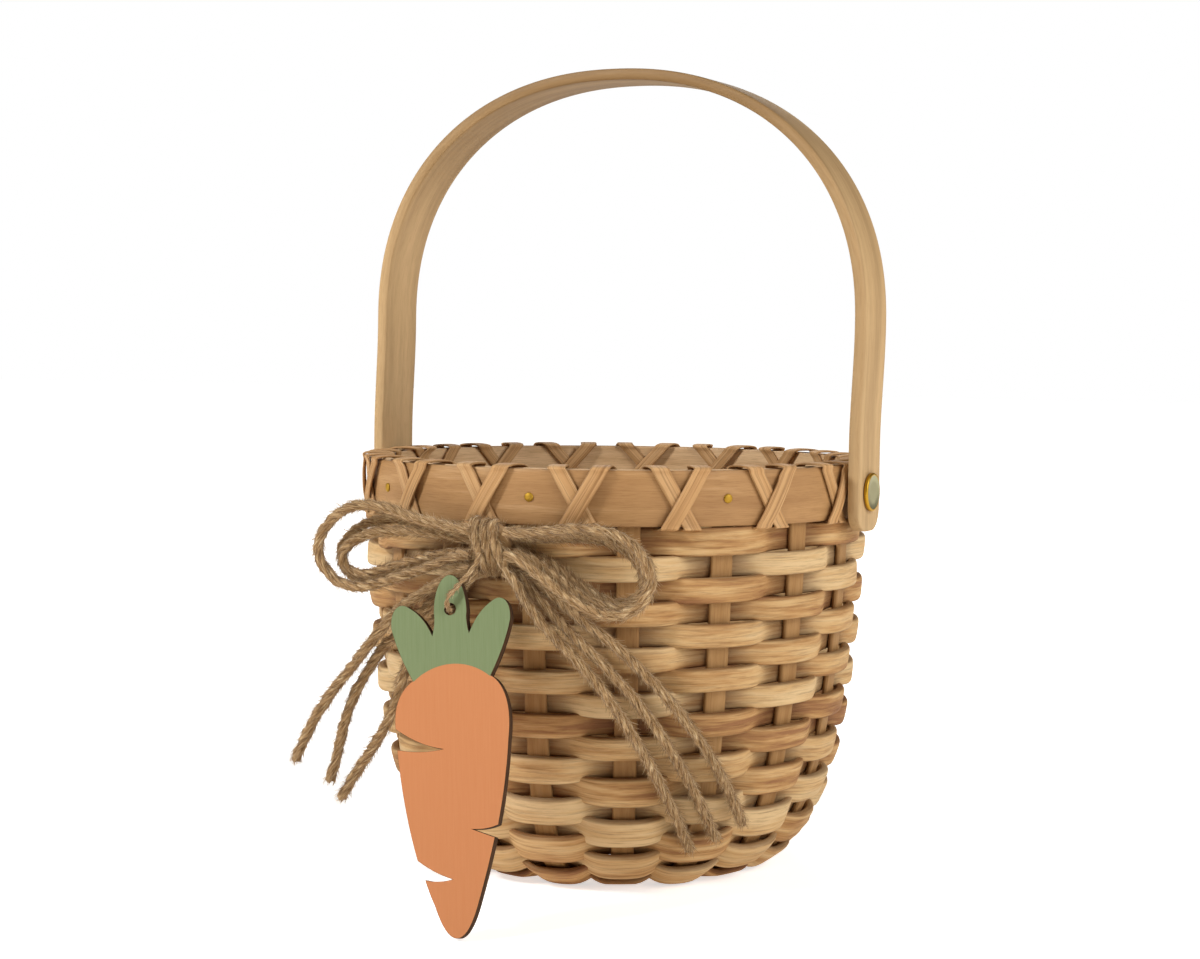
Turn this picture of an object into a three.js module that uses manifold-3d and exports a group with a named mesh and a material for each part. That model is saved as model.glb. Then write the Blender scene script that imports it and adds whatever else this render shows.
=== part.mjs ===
// Woven wooden basket with a swing handle, a twine bow and a hanging carrot tag.
// Millimetres, +Z up. The origin is on the standing surface, under the middle of the base.
// The handle turns about X, and the bow and the tag are at the front, towards -Y.
import * as THREE from "three";
import { mergeVertices } from "three/addons/utils/BufferGeometryUtils.js";
import Module from "manifold-3d";

const wasm = await Module();
wasm.setup();

// Fit between pieces that touch
const CLEARANCE = 0.3;

// Stakes: flat splints that cross under the base and stand up in the wall
const STAKE_COUNT = 17;
const STAKE_PHASE = 2.1; // degrees from the right rivet to the first stake
const STAKE_WIDTH = 6.5;
const STAKE_THICK = 1.6;
const STAKE_INSET = 1.5; // stake ends below the top of the rim
const SPOKE_WIDTH = 4; // splint width in the middle of the base
const SPOKE_GAP = 0.8; // space between the splints that cross there
const FAN_RADIUS = 24; // where the splints have fanned out to even spacing
const CORNER_STEPS = 6; // stake sections in the reach of the corner
const STEP_GROWTH = 1.15; // sections stand wider apart as the wall straightens

// Body outline
const BASE_RADIUS = 40; // flat part of the base
const RIM_RADIUS = 72.4; // middle of the stakes between the rim hoops
const CORNER_REACH = 23.5; // how far the base runs on before the wall turns up
const WALL_DROP = 61.5; // straight pull of the upper wall
const WALL_LEAN = 2.4; // inward lean over that pull

// Weavers: one spiral of half round splints, in lengths that butt behind a stake
const WEAVER_HEIGHT = 5.7;
const WEAVER_THICK = 2.2;
const WEAVER_CROWN = 3.5; // flat top of the rounded outer side
const ROW_GAP = 0.6;
const WEAVER_SPAN = 24; // stake intervals in one length
const WEAVER_TIP = 1.2; // height of the thinned tip that ends the spiral level
const WEAVER_HOLD = 0.25; // share of an interval that lies flat beside a stake
const LEVEL_STAKE = 16.5; // stake interval where the top round runs level

// Rim hoops
const HOOP_BOTTOM = 106.5;
const HOOP_HEIGHT = 15.5;
const HOOP_THICK = 2;
const HOOP_LAP = 24; // degrees of scarfed lap
const HOOP_FEATHER = 0.4; // thickness left at each lapped end
const HOOP_STEP = 8; // degrees between the sections of a hoop
const HOOP_SEAM = 128; // degrees from the right rivet to the lap, at the back

// Crossed lashing round the rim
const LASH_WIDTH = 5.2; // along the rim, about 4 square to the slanted cane
const LASH_THICK = 0.7;
const LASH_SPREAD = 4.6; // degrees from the middle of a cross to its upper ends
const LASH_CLOSE = 2.6; // degrees from the middle of a cross to its lower ends
const LASH_DRIFT = 0.6; // degrees gained while passing over or under the rim

// Swing handle
const HANDLE_WIDTH = 18.6;
const HANDLE_THICK = 3.5;
const HANDLE_TOP = 238.3;
const HANDLE_EDGE = 0.4;
const HANDLE_FOOT = 11.3; // reach of each end below its pivot
const HANDLE_CORNER = 6.5; // rounding of the ends
const HANDLE_UPRIGHT = 12; // straight part of each leg over its pivot
const HANDLE_ARCH = 73.2; // rise of the arch over the legs
const HANDLE_SKEW = 1.25; // how far the hand bent arch stands to the right
const HANDLE_FULLNESS = 2.2; // 2 bends the arch round, more makes it squarer
const HANDLE_STEPS = 12; // steps in each half of the arch

// Rivets and nails
const RIVET_HEAD_RADIUS = 5.6;
const RIVET_HEAD_THICK = 1.2;
const RIVET_SHANK_RADIUS = 1.75;
const RIVET_TAIL_RADIUS = 2.6;
const RIVET_TAIL_THICK = 0.8;
const NAIL_HEAD_RADIUS = 1.7;
const NAIL_HEAD_THICK = 0.8;
const NAIL_SHANK_RADIUS = 0.6;
const NAIL_CLEARANCE = 0.2;
const NAIL_BITE = 1.2; // depth of the nail point in the inner hoop
const NAIL_SIDES = 6;
const RIVET_SIDES = 12;

// Twine bow
const TWINE_DIAMETER = 3.2;
const TWINE_SIDES = 8;
const TWINE_STEP = 7; // length of one straight step of a twine tube
const KNOT_CENTRE = new THREE.Vector3(2.5, -81.4, 100.8);
const KNOT_TURNS = 3; // turns of twine drawn round the middle of the bow
const KNOT_RADIUS = 7.9;
const KNOT_GROOVE = 1.2; // depth between two turns
const KNOT_FLATTEN = 0.66; // depth of the knot against its height
const KNOT_SIDES = 14;

// Hanging tag
const TAG_HOLE = new THREE.Vector3(-4.5, -92, 84.1);
const TAG_LENGTH = 87.1; // hole to tip
const TAG_HEADING = 35.6; // degrees right of the front in which the tip leans out
const TAG_TURN = 10; // degrees that the face turns to the right
const TAG_THICK = 3;
const TAG_HOLE_RADIUS = 1.6;
const TAG_LIFT = 0.7; // middle of the tip above the table
const TAG_HALF_WIDTH = 16.2; // root at its widest
const LEAF_HALF_WIDTH = 4.7; // middle leaf
const LEAF_RISE = 9.4; // middle leaf above the hole
const HANGER_DIAMETER = 1.5;
const HANGER_STEP = 2.2;

// Sizes that follow from the driving ones
const STAKE_ANGLE = 360 / STAKE_COUNT;
const stakeDegrees = (stake) => STAKE_PHASE + stake * STAKE_ANGLE;
const ROW_PITCH = WEAVER_HEIGHT + ROW_GAP;
const WEAVE_OFFSET = STAKE_THICK / 2 + CLEARANCE + WEAVER_THICK / 2;
const BASE_Z = WEAVE_OFFSET + WEAVER_THICK / 2;
const RIM_TOP = HOOP_BOTTOM + HOOP_HEIGHT;
const PIVOT_Z = HOOP_BOTTOM + HOOP_HEIGHT / 2;
const SPOKE_LANE = SPOKE_WIDTH + SPOKE_GAP;
const OUTER_HOOP_IN = Math.hypot(RIM_RADIUS + STAKE_THICK / 2, STAKE_WIDTH / 2) + CLEARANCE;
const OUTER_HOOP_OUT = OUTER_HOOP_IN + HOOP_THICK;
const INNER_HOOP_OUT = RIM_RADIUS - STAKE_THICK / 2 - CLEARANCE;
const INNER_HOOP_IN = INNER_HOOP_OUT - HOOP_THICK;
const LASH_SEAT = CLEARANCE + LASH_THICK / 2;
const LASH_LIFT = LASH_THICK + CLEARANCE;
const HANDLE_IN = OUTER_HOOP_OUT + LASH_SEAT + LASH_LIFT + LASH_THICK / 2 + CLEARANCE;
const HANDLE_OUT = HANDLE_IN + HANDLE_THICK;

// Materials
const wood = (color, roughness) => new THREE.MeshStandardMaterial({ color, roughness, metalness: 0 });
const weaverTints = [0xc89a64, 0xbd8a52, 0xd0a672, 0xb98450].map((color) => wood(color, 0.62));
const stakeWood = wood(0xb8854f, 0.65);
const hoopWood = wood(0xc6935f, 0.55);
const cane = wood(0xc79a68, 0.5);
const beech = wood(0xd6b384, 0.55);
const brass = new THREE.MeshStandardMaterial({ color: 0xc7a44e, roughness: 0.35, metalness: 1 });
const twine = wood(0xa98c68, 0.95);
const paintedWood = wood(0xe09a62, 0.7);

// Helpers
const radians = THREE.MathUtils.degToRad;
const around = (degrees, radius, z) => {
  const angle = radians(degrees);
  return new THREE.Vector3(radius * Math.cos(angle), radius * Math.sin(angle), z);
};

function meshOf(name, geometry, material) {
  const mesh = new THREE.Mesh(geometry, material);
  mesh.name = name;
  return mesh;
}

function geometryOf(positions, indices) {
  const geometry = new THREE.BufferGeometry();
  geometry.setAttribute("position", new THREE.Float32BufferAttribute(positions, 3));
  geometry.setIndex(indices);
  return geometry;
}

// Six times the volume that a set of triangles encloses, positive when the faces point out
function enclosed(rings, triangles) {
  const points = rings.flat();
  let sum = 0;
  for (const [a, b, c] of triangles) {
    sum += points[a].dot(new THREE.Vector3().crossVectors(points[b], points[c]));
  }
  return sum;
}

// Closed solid through rings of points, capped at both ends or joined into a loop
function loft(rings, loop = false) {
  const count = rings[0].length;
  const triangles = [];
  const spans = loop ? rings.length : rings.length - 1;
  for (let i = 0; i < spans; i += 1) {
    const here = i * count;
    const next = ((i + 1) % rings.length) * count;
    for (let j = 0; j < count; j += 1) {
      const k = (j + 1) % count;
      triangles.push([here + j, here + k, next + k]);
      triangles.push([here + j, next + k, next + j]);
    }
  }
  if (!loop) {
    const last = (rings.length - 1) * count;
    for (let j = 1; j < count - 1; j += 1) {
      triangles.push([0, j + 1, j]);
      triangles.push([last, last + j, last + j + 1]);
    }
  }
  if (enclosed(rings, triangles) < 0) triangles.forEach((triangle) => triangle.reverse());
  return geometryOf(rings.flat().flatMap((point) => point.toArray()), triangles.flat());
}

// Flat strip along stations of { point, normal, width }, with one thickness
function strip(stations, thick, loop = false) {
  const count = stations.length;
  const rings = stations.map(({ point, normal, width }, i) => {
    const before = stations[loop ? (i + count - 1) % count : Math.max(i - 1, 0)].point;
    const after = stations[loop ? (i + 1) % count : Math.min(i + 1, count - 1)].point;
    const along = after.clone().sub(before).normalize();
    const across = new THREE.Vector3().crossVectors(along, normal).normalize();
    const out = new THREE.Vector3().crossVectors(across, along);
    const corner = (side, face) => point.clone()
      .addScaledVector(across, (side * width) / 2)
      .addScaledVector(out, (face * thick) / 2);
    return [corner(-1, -1), corner(1, -1), corner(1, 1), corner(-1, 1)];
  });
  return loft(rings, loop);
}

function solidOf(geometry) {
  const bare = geometry.clone();
  bare.deleteAttribute("normal");
  bare.deleteAttribute("uv");
  const merged = mergeVertices(bare, 1e-4);
  const vertProperties = new Float32Array(merged.attributes.position.array);
  const triVerts = new Uint32Array(merged.index.array);
  return new wasm.Manifold(new wasm.Mesh({ numProp: 3, vertProperties, triVerts }));
}

function geometryFrom(solid) {
  const { vertProperties, triVerts } = solid.getMesh();
  return geometryOf(Array.from(vertProperties), Array.from(triVerts));
}

const cut = (geometry, tools) => geometryFrom(
  tools.reduce((solid, tool) => solid.subtract(solidOf(tool)), solidOf(geometry)),
);

// Round bar pointing away from the basket's axis, used to drill the rim
function radialBar(degrees, from, to, radius, sides) {
  const bar = new THREE.CylinderGeometry(radius, radius, to - from, sides);
  bar.rotateZ(-Math.PI / 2);
  bar.translate((from + to) / 2, 0, PIVOT_Z);
  return bar.rotateZ(radians(degrees));
}

// Half section that the stakes follow: flat base, turned up corner, wall, rim
const section = new THREE.CurvePath();
const baseEdge = new THREE.Vector2(BASE_RADIUS, BASE_Z);
const rimFoot = new THREE.Vector2(RIM_RADIUS, HOOP_BOTTOM);
section.add(new THREE.LineCurve(new THREE.Vector2(0, BASE_Z), baseEdge));
section.add(new THREE.CubicBezierCurve(
  baseEdge,
  new THREE.Vector2(BASE_RADIUS + CORNER_REACH, BASE_Z),
  new THREE.Vector2(RIM_RADIUS - WALL_LEAN, HOOP_BOTTOM - WALL_DROP),
  rimFoot,
));
section.add(new THREE.LineCurve(rimFoot, new THREE.Vector2(RIM_RADIUS, RIM_TOP - STAKE_INSET)));
const SECTION_LENGTH = section.getLength();
const WALL_END = SECTION_LENGTH - (HOOP_HEIGHT - STAKE_INSET);

function onSection(run) {
  const share = Math.min(run / SECTION_LENGTH, 1);
  const tangent = section.getTangent(share);
  return { point: section.getPoint(share), tangent, normal: new THREE.Vector2(tangent.y, -tangent.x) };
}

// The spiral is counted in stakes passed. Its top edge levels off below the lashing.
const WEAVE_TOP = WALL_END - LASH_THICK - 3 * CLEARANCE;
const WEAVE_START = FAN_RADIUS + WEAVER_HEIGHT / 2 + CLEARANCE;
const levelShare = LEVEL_STAKE / STAKE_COUNT;
const WEAVE_ROUNDS = Math.floor((WEAVE_TOP - WEAVER_HEIGHT / 2 - WEAVE_START) / ROW_PITCH - levelShare);
const LEVEL_INDEX = WEAVE_ROUNDS * STAKE_COUNT + LEVEL_STAKE;
const isOutside = (stake) => (stake + WEAVE_ROUNDS) % 2 !== 0;
const rowRun = (index) => WEAVE_TOP - WEAVER_HEIGHT / 2
  - (ROW_PITCH * (LEVEL_INDEX - index)) / STAKE_COUNT;

// Cross section of the weaver at one place on the spiral
function weaverRing(index, outside) {
  const bottom = rowRun(index) - WEAVER_HEIGHT / 2;
  const top = Math.min(rowRun(index) + WEAVER_HEIGHT / 2, WEAVE_TOP);
  const half = (top - bottom) / 2;
  const crown = (half * WEAVER_CROWN) / WEAVER_HEIGHT;
  const { point, tangent, normal } = onSection((top + bottom) / 2);
  const offset = outside ? WEAVE_OFFSET : -WEAVE_OFFSET;
  // The straight run past a stake is moved out so that its middle still clears the stake
  const chord = 1 / Math.cos(radians(STAKE_ANGLE * WEAVER_HOLD)) - 1;
  const bulge = outside ? 1 + normal.x * chord : 1;
  const degrees = stakeDegrees(index);
  const corner = (along, out) => {
    const flat = point.clone().addScaledVector(tangent, along).addScaledVector(normal, offset + out);
    return around(degrees, flat.x * bulge, Math.max(flat.y, 0));
  };
  const face = WEAVER_THICK / 2;
  return [corner(-half, -face), corner(half, -face), corner(crown, face), corner(-crown, face)];
}

function weaver(first, last) {
  const butt = CLEARANCE / (onSection(rowRun(first)).point.x * radians(STAKE_ANGLE));
  const rings = [weaverRing(first + butt, isOutside(first))];
  for (let stake = first; stake < last; stake += 1) {
    rings.push(weaverRing(stake + WEAVER_HOLD, isOutside(stake)));
    rings.push(weaverRing(stake + 1 - WEAVER_HOLD, isOutside(stake + 1)));
  }
  rings.push(weaverRing(last - butt, isOutside(last)));
  return loft(rings);
}

function weavers() {
  const thinned = (STAKE_COUNT * (WEAVER_HEIGHT - WEAVER_TIP)) / ROW_PITCH;
  let first = isOutside(0) ? 1 : 0;
  let end = Math.floor(LEVEL_INDEX + thinned);
  while (rowRun(first) < WEAVE_START) first += 2;
  if (isOutside(end)) end -= 1;
  const group = new THREE.Group();
  for (let number = 1; first < end; number += 1) {
    const last = Math.min(first + WEAVER_SPAN, end);
    const name = `weaver_${String(number).padStart(2, "0")}`;
    group.add(meshOf(name, weaver(first, last), weaverTints[number % weaverTints.length]));
    first = last;
  }
  return group;
}

// Stations up one stake, from the fanned base to its end between the hoops
function stakeStations(stake) {
  const degrees = stakeDegrees(stake);
  const runs = [FAN_RADIUS, (FAN_RADIUS + BASE_RADIUS) / 2];
  let step = CORNER_REACH / CORNER_STEPS;
  for (let run = BASE_RADIUS; run < WALL_END - step / 2; run += step) {
    runs.push(run);
    step *= STEP_GROWTH;
  }
  runs.push(WALL_END, SECTION_LENGTH);
  return runs.map((run) => {
    const { point, normal } = onSection(run);
    const grown = Math.min((run - FAN_RADIUS) / (BASE_RADIUS - FAN_RADIUS), 1);
    return {
      point: around(degrees, point.x, point.y),
      normal: around(degrees, normal.x, normal.y),
      width: SPOKE_WIDTH + (STAKE_WIDTH - SPOKE_WIDTH) * grown,
    };
  });
}

// Where a splint enters or leaves the square crossing in the middle of the base
function crossingStation(along, lane, side, layer) {
  const half = 2 * SPOKE_LANE + CLEARANCE;
  const z = BASE_Z + layer * (STAKE_THICK + CLEARANCE);
  const point = along === "x"
    ? new THREE.Vector3(side * half, lane * SPOKE_LANE, z)
    : new THREE.Vector3(lane * SPOKE_LANE, side * half, z);
  return { point, normal: new THREE.Vector3(0, 0, -1), width: SPOKE_WIDTH };
}

// Eight splints cross in two layers, and a short one makes the count of stakes odd
const SPLINTS = [
  { along: "x", lane: 1.5, ends: [1, 7] },
  { along: "x", lane: 0.5, ends: [0, 8] },
  { along: "x", lane: -0.5, ends: [16, 9] },
  { along: "x", lane: -1.5, ends: [15, 10] },
  { along: "y", lane: 1.5, ends: [2, 14] },
  { along: "y", lane: 0.5, ends: [3, 13] },
  { along: "y", lane: -0.5, ends: [5, 12] },
  { along: "y", lane: -1.5, ends: [6, 11] },
];
const SHORT_STAKE = 4;

function splintGeometry({ along, lane, ends }) {
  const layer = along === "x" ? 0 : 1;
  const stations = [
    ...stakeStations(ends[0]).reverse(),
    crossingStation(along, lane, 1, layer),
    crossingStation(along, lane, -1, layer),
    ...stakeStations(ends[1]),
  ];
  return strip(stations, STAKE_THICK);
}

// Nails hold every second stake between the hoops, the first stake has the rivet
const NAILED_STAKES = [1, 3, 5, 7, 9, 11, 13, 15];

const nailHole = (stake) => radialBar(
  stakeDegrees(stake),
  INNER_HOOP_OUT - NAIL_BITE - CLEARANCE,
  OUTER_HOOP_OUT + HOOP_THICK,
  NAIL_SHANK_RADIUS + NAIL_CLEARANCE,
  NAIL_SIDES,
);
const rivetHole = (degrees) => radialBar(
  degrees,
  INNER_HOOP_IN - HOOP_THICK,
  OUTER_HOOP_OUT + HOOP_THICK,
  RIVET_SHANK_RADIUS + CLEARANCE,
  RIVET_SIDES,
);
const rivetRecess = (degrees) => radialBar(
  degrees,
  INNER_HOOP_IN - HOOP_THICK,
  INNER_HOOP_IN + RIVET_TAIL_THICK + CLEARANCE,
  RIVET_TAIL_RADIUS + CLEARANCE,
  RIVET_SIDES,
);

function splints() {
  const group = new THREE.Group();
  const nailed = (ends) => ends.filter((stake) => NAILED_STAKES.includes(stake)).map(nailHole);
  SPLINTS.forEach((splint, i) => {
    const tools = nailed(splint.ends);
    if (splint.ends.includes(0)) tools.push(rivetHole(0));
    const geometry = cut(splintGeometry(splint), tools);
    group.add(meshOf(`splint_${i + 1}`, geometry, stakeWood));
  });
  const short = cut(strip(stakeStations(SHORT_STAKE), STAKE_THICK), nailed([SHORT_STAKE]));
  group.add(meshOf("splint_short", short, stakeWood));
  return group;
}

// One hoop: a strip bent round, with its thinned ends lapped over each other
function hoop(inside) {
  const lapThick = HOOP_THICK - 2 * HOOP_FEATHER - CLEARANCE;
  const stepOut = 1.5; // degrees in which the strip comes to full thickness after the lap
  const lapped = [];
  for (let mark = 0; mark < HOOP_LAP - HOOP_STEP / 2; mark += HOOP_STEP) lapped.push(mark);
  const marks = [...lapped, HOOP_LAP - CLEARANCE, HOOP_LAP + stepOut];
  for (let mark = HOOP_LAP + HOOP_STEP; mark < 360; mark += HOOP_STEP) marks.push(mark);
  marks.push(360 - CLEARANCE, ...lapped.map((mark) => mark + 360), 360 + HOOP_LAP - 2 * CLEARANCE);
  const rings = marks.map((mark) => {
    let inner = inside;
    let outer = inside + HOOP_THICK;
    if (mark < HOOP_LAP) outer = inside + HOOP_FEATHER + (lapThick * mark) / HOOP_LAP;
    if (mark >= 360 - CLEARANCE) {
      inner = inside + HOOP_FEATHER + CLEARANCE + (lapThick * Math.max(mark - 360, 0)) / HOOP_LAP;
    }
    const degrees = HOOP_SEAM + mark;
    return [
      around(degrees, inner, HOOP_BOTTOM),
      around(degrees, outer, HOOP_BOTTOM),
      around(degrees, outer, RIM_TOP),
      around(degrees, inner, RIM_TOP),
    ];
  });
  return loft(rings);
}

// One lashing: a flat cane wound round both hoops, one turn in each gap between stakes.
// The hand sets which way it leans, and the left handed one rides over the other.
// It folds over the edges of the rim along the edge, so its sections stay square to the rim.
function lashing(hand) {
  const bottom = HOOP_BOTTOM - LASH_SEAT;
  const top = RIM_TOP + LASH_SEAT;
  const outside = OUTER_HOOP_OUT + LASH_SEAT;
  const inside = INNER_HOOP_IN - LASH_SEAT;
  const lift = hand > 0 ? 0 : LASH_LIFT;
  const half = STAKE_ANGLE / 2;
  const far = STAKE_ANGLE - LASH_CLOSE - LASH_DRIFT;
  const beside = THREE.MathUtils.radToDeg((RIVET_SHANK_RADIUS + 2 * CLEARANCE + LASH_WIDTH / 2) / outside);
  // Shares of its way up the outside and down the inside where it lies on the other one
  const rideOut = hand > 0 ? [0.5] : [0.08, 0.68];
  const rideIn = hand > 0 ? [0.5] : [0.16, 0.84];
  const rings = [];
  for (let turn = 0; turn < STAKE_COUNT; turn += 1) {
    const middle = stakeDegrees(hand > 0 ? turn + 0.5 : STAKE_COUNT - turn - 0.5);
    const add = (shift, radius, z, out, up) => {
      const degrees = middle + hand * shift;
      const across = around(degrees + 90, LASH_WIDTH / 2, 0);
      const face = around(degrees, out, up).multiplyScalar(LASH_THICK / 2);
      const corner = (side, level) => around(degrees, radius, z)
        .addScaledVector(across, side)
        .addScaledVector(face, level);
      rings.push([corner(-1, -1), corner(1, -1), corner(1, 1), corner(-1, 1)]);
    };
    const climb = (share) => bottom + (top - bottom) * share;
    // Beside the left rivet the canes run straight up instead of crossing
    const crosses = Math.abs(middle - 180) > half;
    const upright = hand * (180 - middle) - beside;
    const start = crosses ? -LASH_CLOSE : upright;
    const end = crosses ? LASH_SPREAD : upright;
    add(start, outside, bottom, 1, -1);
    rideOut.forEach((share) => add(start + (end - start) * share, outside + lift, climb(share), 1, 0));
    add(end, outside, top, 1, 1);
    const inner = end + LASH_DRIFT;
    add(inner, crosses ? inside : inside - lift, top, -1, 1);
    rideIn.forEach((share) => add(inner + (far - inner) * share, inside - lift, climb(1 - share), -1, 0));
    add(far, inside, bottom, -1, -1);
  }
  return loft(rings, true);
}

// Nail along +X with its head on the outer hoop
function nail(stake) {
  const seat = OUTER_HOOP_OUT + CLEARANCE / 2;
  const tip = INNER_HOOP_OUT - NAIL_BITE;
  const outline = [
    [0, tip],
    [NAIL_SHANK_RADIUS, tip + NAIL_SHANK_RADIUS],
    [NAIL_SHANK_RADIUS, seat],
    [NAIL_HEAD_RADIUS, seat],
    [NAIL_HEAD_RADIUS * 0.85, seat + NAIL_HEAD_THICK * 0.6],
    [0, seat + NAIL_HEAD_THICK],
  ];
  const geometry = new THREE.LatheGeometry(outline.map(([x, y]) => new THREE.Vector2(x, y)), NAIL_SIDES);
  geometry.rotateZ(-Math.PI / 2);
  geometry.translate(0, 0, PIVOT_Z);
  return geometry.rotateZ(radians(stakeDegrees(stake)));
}

function rim() {
  const rivetEnds = [0, 180];
  const nailHoles = NAILED_STAKES.map(nailHole);
  const outer = cut(hoop(OUTER_HOOP_IN), [...nailHoles, ...rivetEnds.map(rivetHole)]);
  const innerTools = [...nailHoles, ...rivetEnds.map(rivetHole), ...rivetEnds.map(rivetRecess)];
  const group = new THREE.Group();
  group.add(meshOf("outer_rim_hoop", outer, hoopWood));
  group.add(meshOf("inner_rim_hoop", cut(hoop(INNER_HOOP_IN), innerTools), hoopWood));
  group.add(meshOf("lashing_right", lashing(1), cane));
  group.add(meshOf("lashing_left", lashing(-1), cane));
  NAILED_STAKES.forEach((stake, i) => group.add(meshOf(`rim_nail_${i + 1}`, nail(stake), brass)));
  return group;
}

// Line along the handle, drawn from its pivot, at a distance outside its middle
function handleLine(offset) {
  const middle = (HANDLE_IN + HANDLE_OUT) / 2;
  const bend = HANDLE_TOP - PIVOT_Z - HANDLE_THICK / 2 - HANDLE_ARCH;
  const power = 2 / HANDLE_FULLNESS;
  const line = [[middle, -HANDLE_WIDTH], [middle, HANDLE_UPRIGHT]];
  for (let step = 0; step <= 2 * HANDLE_STEPS; step += 1) {
    const turn = (Math.PI * step) / (2 * HANDLE_STEPS);
    const reach = Math.sign(Math.cos(turn)) * Math.abs(Math.cos(turn)) ** power;
    line.push([HANDLE_SKEW + middle * reach, bend + HANDLE_ARCH * Math.sin(turn) ** power]);
  }
  line.push([-middle, HANDLE_UPRIGHT], [-middle, -HANDLE_WIDTH]);
  return line.map(([x, z], i) => {
    const ahead = line[Math.min(i + 1, line.length - 1)];
    const behind = line[Math.max(i - 1, 0)];
    const along = new THREE.Vector2(ahead[0] - behind[0], ahead[1] - behind[1]).normalize();
    return new THREE.Vector2(x + offset * along.y, z - offset * along.x);
  });
}

// Bent wood handle with rounded ends, drilled for the rivets
function handleGeometry() {
  const half = HANDLE_THICK / 2 - HANDLE_EDGE;
  const outline = new THREE.Shape([...handleLine(half), ...handleLine(-half).reverse()]);
  const band = new THREE.ExtrudeGeometry(outline, {
    depth: HANDLE_WIDTH - 2 * HANDLE_EDGE,
    bevelSize: HANDLE_EDGE,
    bevelThickness: HANDLE_EDGE,
    bevelSegments: 1,
  });
  band.translate(0, 0, HANDLE_EDGE - HANDLE_WIDTH / 2);
  band.rotateX(Math.PI / 2);
  const side = new THREE.Shape();
  side.moveTo(HANDLE_WIDTH, HANDLE_TOP);
  side.lineTo(-HANDLE_WIDTH, HANDLE_TOP);
  const corner = HANDLE_WIDTH / 2 - HANDLE_CORNER;
  const low = HANDLE_CORNER - HANDLE_FOOT;
  side.lineTo(-HANDLE_WIDTH / 2, low);
  side.absarc(-corner, low, HANDLE_CORNER, Math.PI, 1.5 * Math.PI, false);
  side.absarc(corner, low, HANDLE_CORNER, 1.5 * Math.PI, 2 * Math.PI, false);
  const reach = 4 * HANDLE_OUT;
  const rounded = new THREE.ExtrudeGeometry(side, { depth: reach, curveSegments: 5, bevelEnabled: false });
  rounded.translate(0, 0, -reach / 2);
  rounded.rotateX(Math.PI / 2);
  rounded.rotateZ(Math.PI / 2);
  const drill = new THREE.CylinderGeometry(
    RIVET_SHANK_RADIUS + CLEARANCE, RIVET_SHANK_RADIUS + CLEARANCE, reach, RIVET_SIDES);
  drill.rotateZ(Math.PI / 2);
  return geometryFrom(solidOf(band).intersect(solidOf(rounded)).subtract(solidOf(drill)));
}

// Rivet along X through the handle and the rim, with its rolled tail let into the inner hoop
function rivet(side) {
  const tail = INNER_HOOP_IN + CLEARANCE / 2;
  const seat = HANDLE_OUT + CLEARANCE / 2;
  const edge = RIVET_HEAD_THICK / 3;
  const outline = [
    [0, tail],
    [RIVET_TAIL_RADIUS, tail],
    [RIVET_TAIL_RADIUS, tail + RIVET_TAIL_THICK - CLEARANCE],
    [RIVET_SHANK_RADIUS, tail + RIVET_TAIL_THICK],
    [RIVET_SHANK_RADIUS, seat],
    [RIVET_HEAD_RADIUS - edge, seat],
    [RIVET_HEAD_RADIUS, seat + edge],
    [RIVET_HEAD_RADIUS, seat + RIVET_HEAD_THICK - edge],
    [RIVET_HEAD_RADIUS - edge, seat + RIVET_HEAD_THICK],
    [0, seat + RIVET_HEAD_THICK],
  ];
  const geometry = new THREE.LatheGeometry(outline.map(([x, y]) => new THREE.Vector2(x, y)), RIVET_SIDES);
  geometry.rotateZ((-side * Math.PI) / 2);
  return geometry;
}

function handle() {
  const group = new THREE.Group();
  group.position.z = PIVOT_Z;
  group.add(meshOf("handle", handleGeometry(), beech));
  group.add(meshOf("rivet_right", rivet(1), brass));
  group.add(meshOf("rivet_left", rivet(-1), brass));
  return group;
}

// Round twine along hand laid points
function cord(points, diameter, step) {
  const path = new THREE.CatmullRomCurve3(points.map(([x, y, z]) => new THREE.Vector3(x, y, z)));
  const round = new THREE.Shape();
  for (let i = 0; i < TWINE_SIDES; i += 1) {
    const angle = (2 * Math.PI * i) / TWINE_SIDES;
    const x = (Math.cos(angle) * diameter) / 2;
    const y = (Math.sin(angle) * diameter) / 2;
    if (i === 0) round.moveTo(x, y);
    else round.lineTo(x, y);
  }
  const steps = Math.round(path.getLength() / step);
  return new THREE.ExtrudeGeometry(round, { steps, extrudePath: path, bevelEnabled: false });
}

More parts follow.
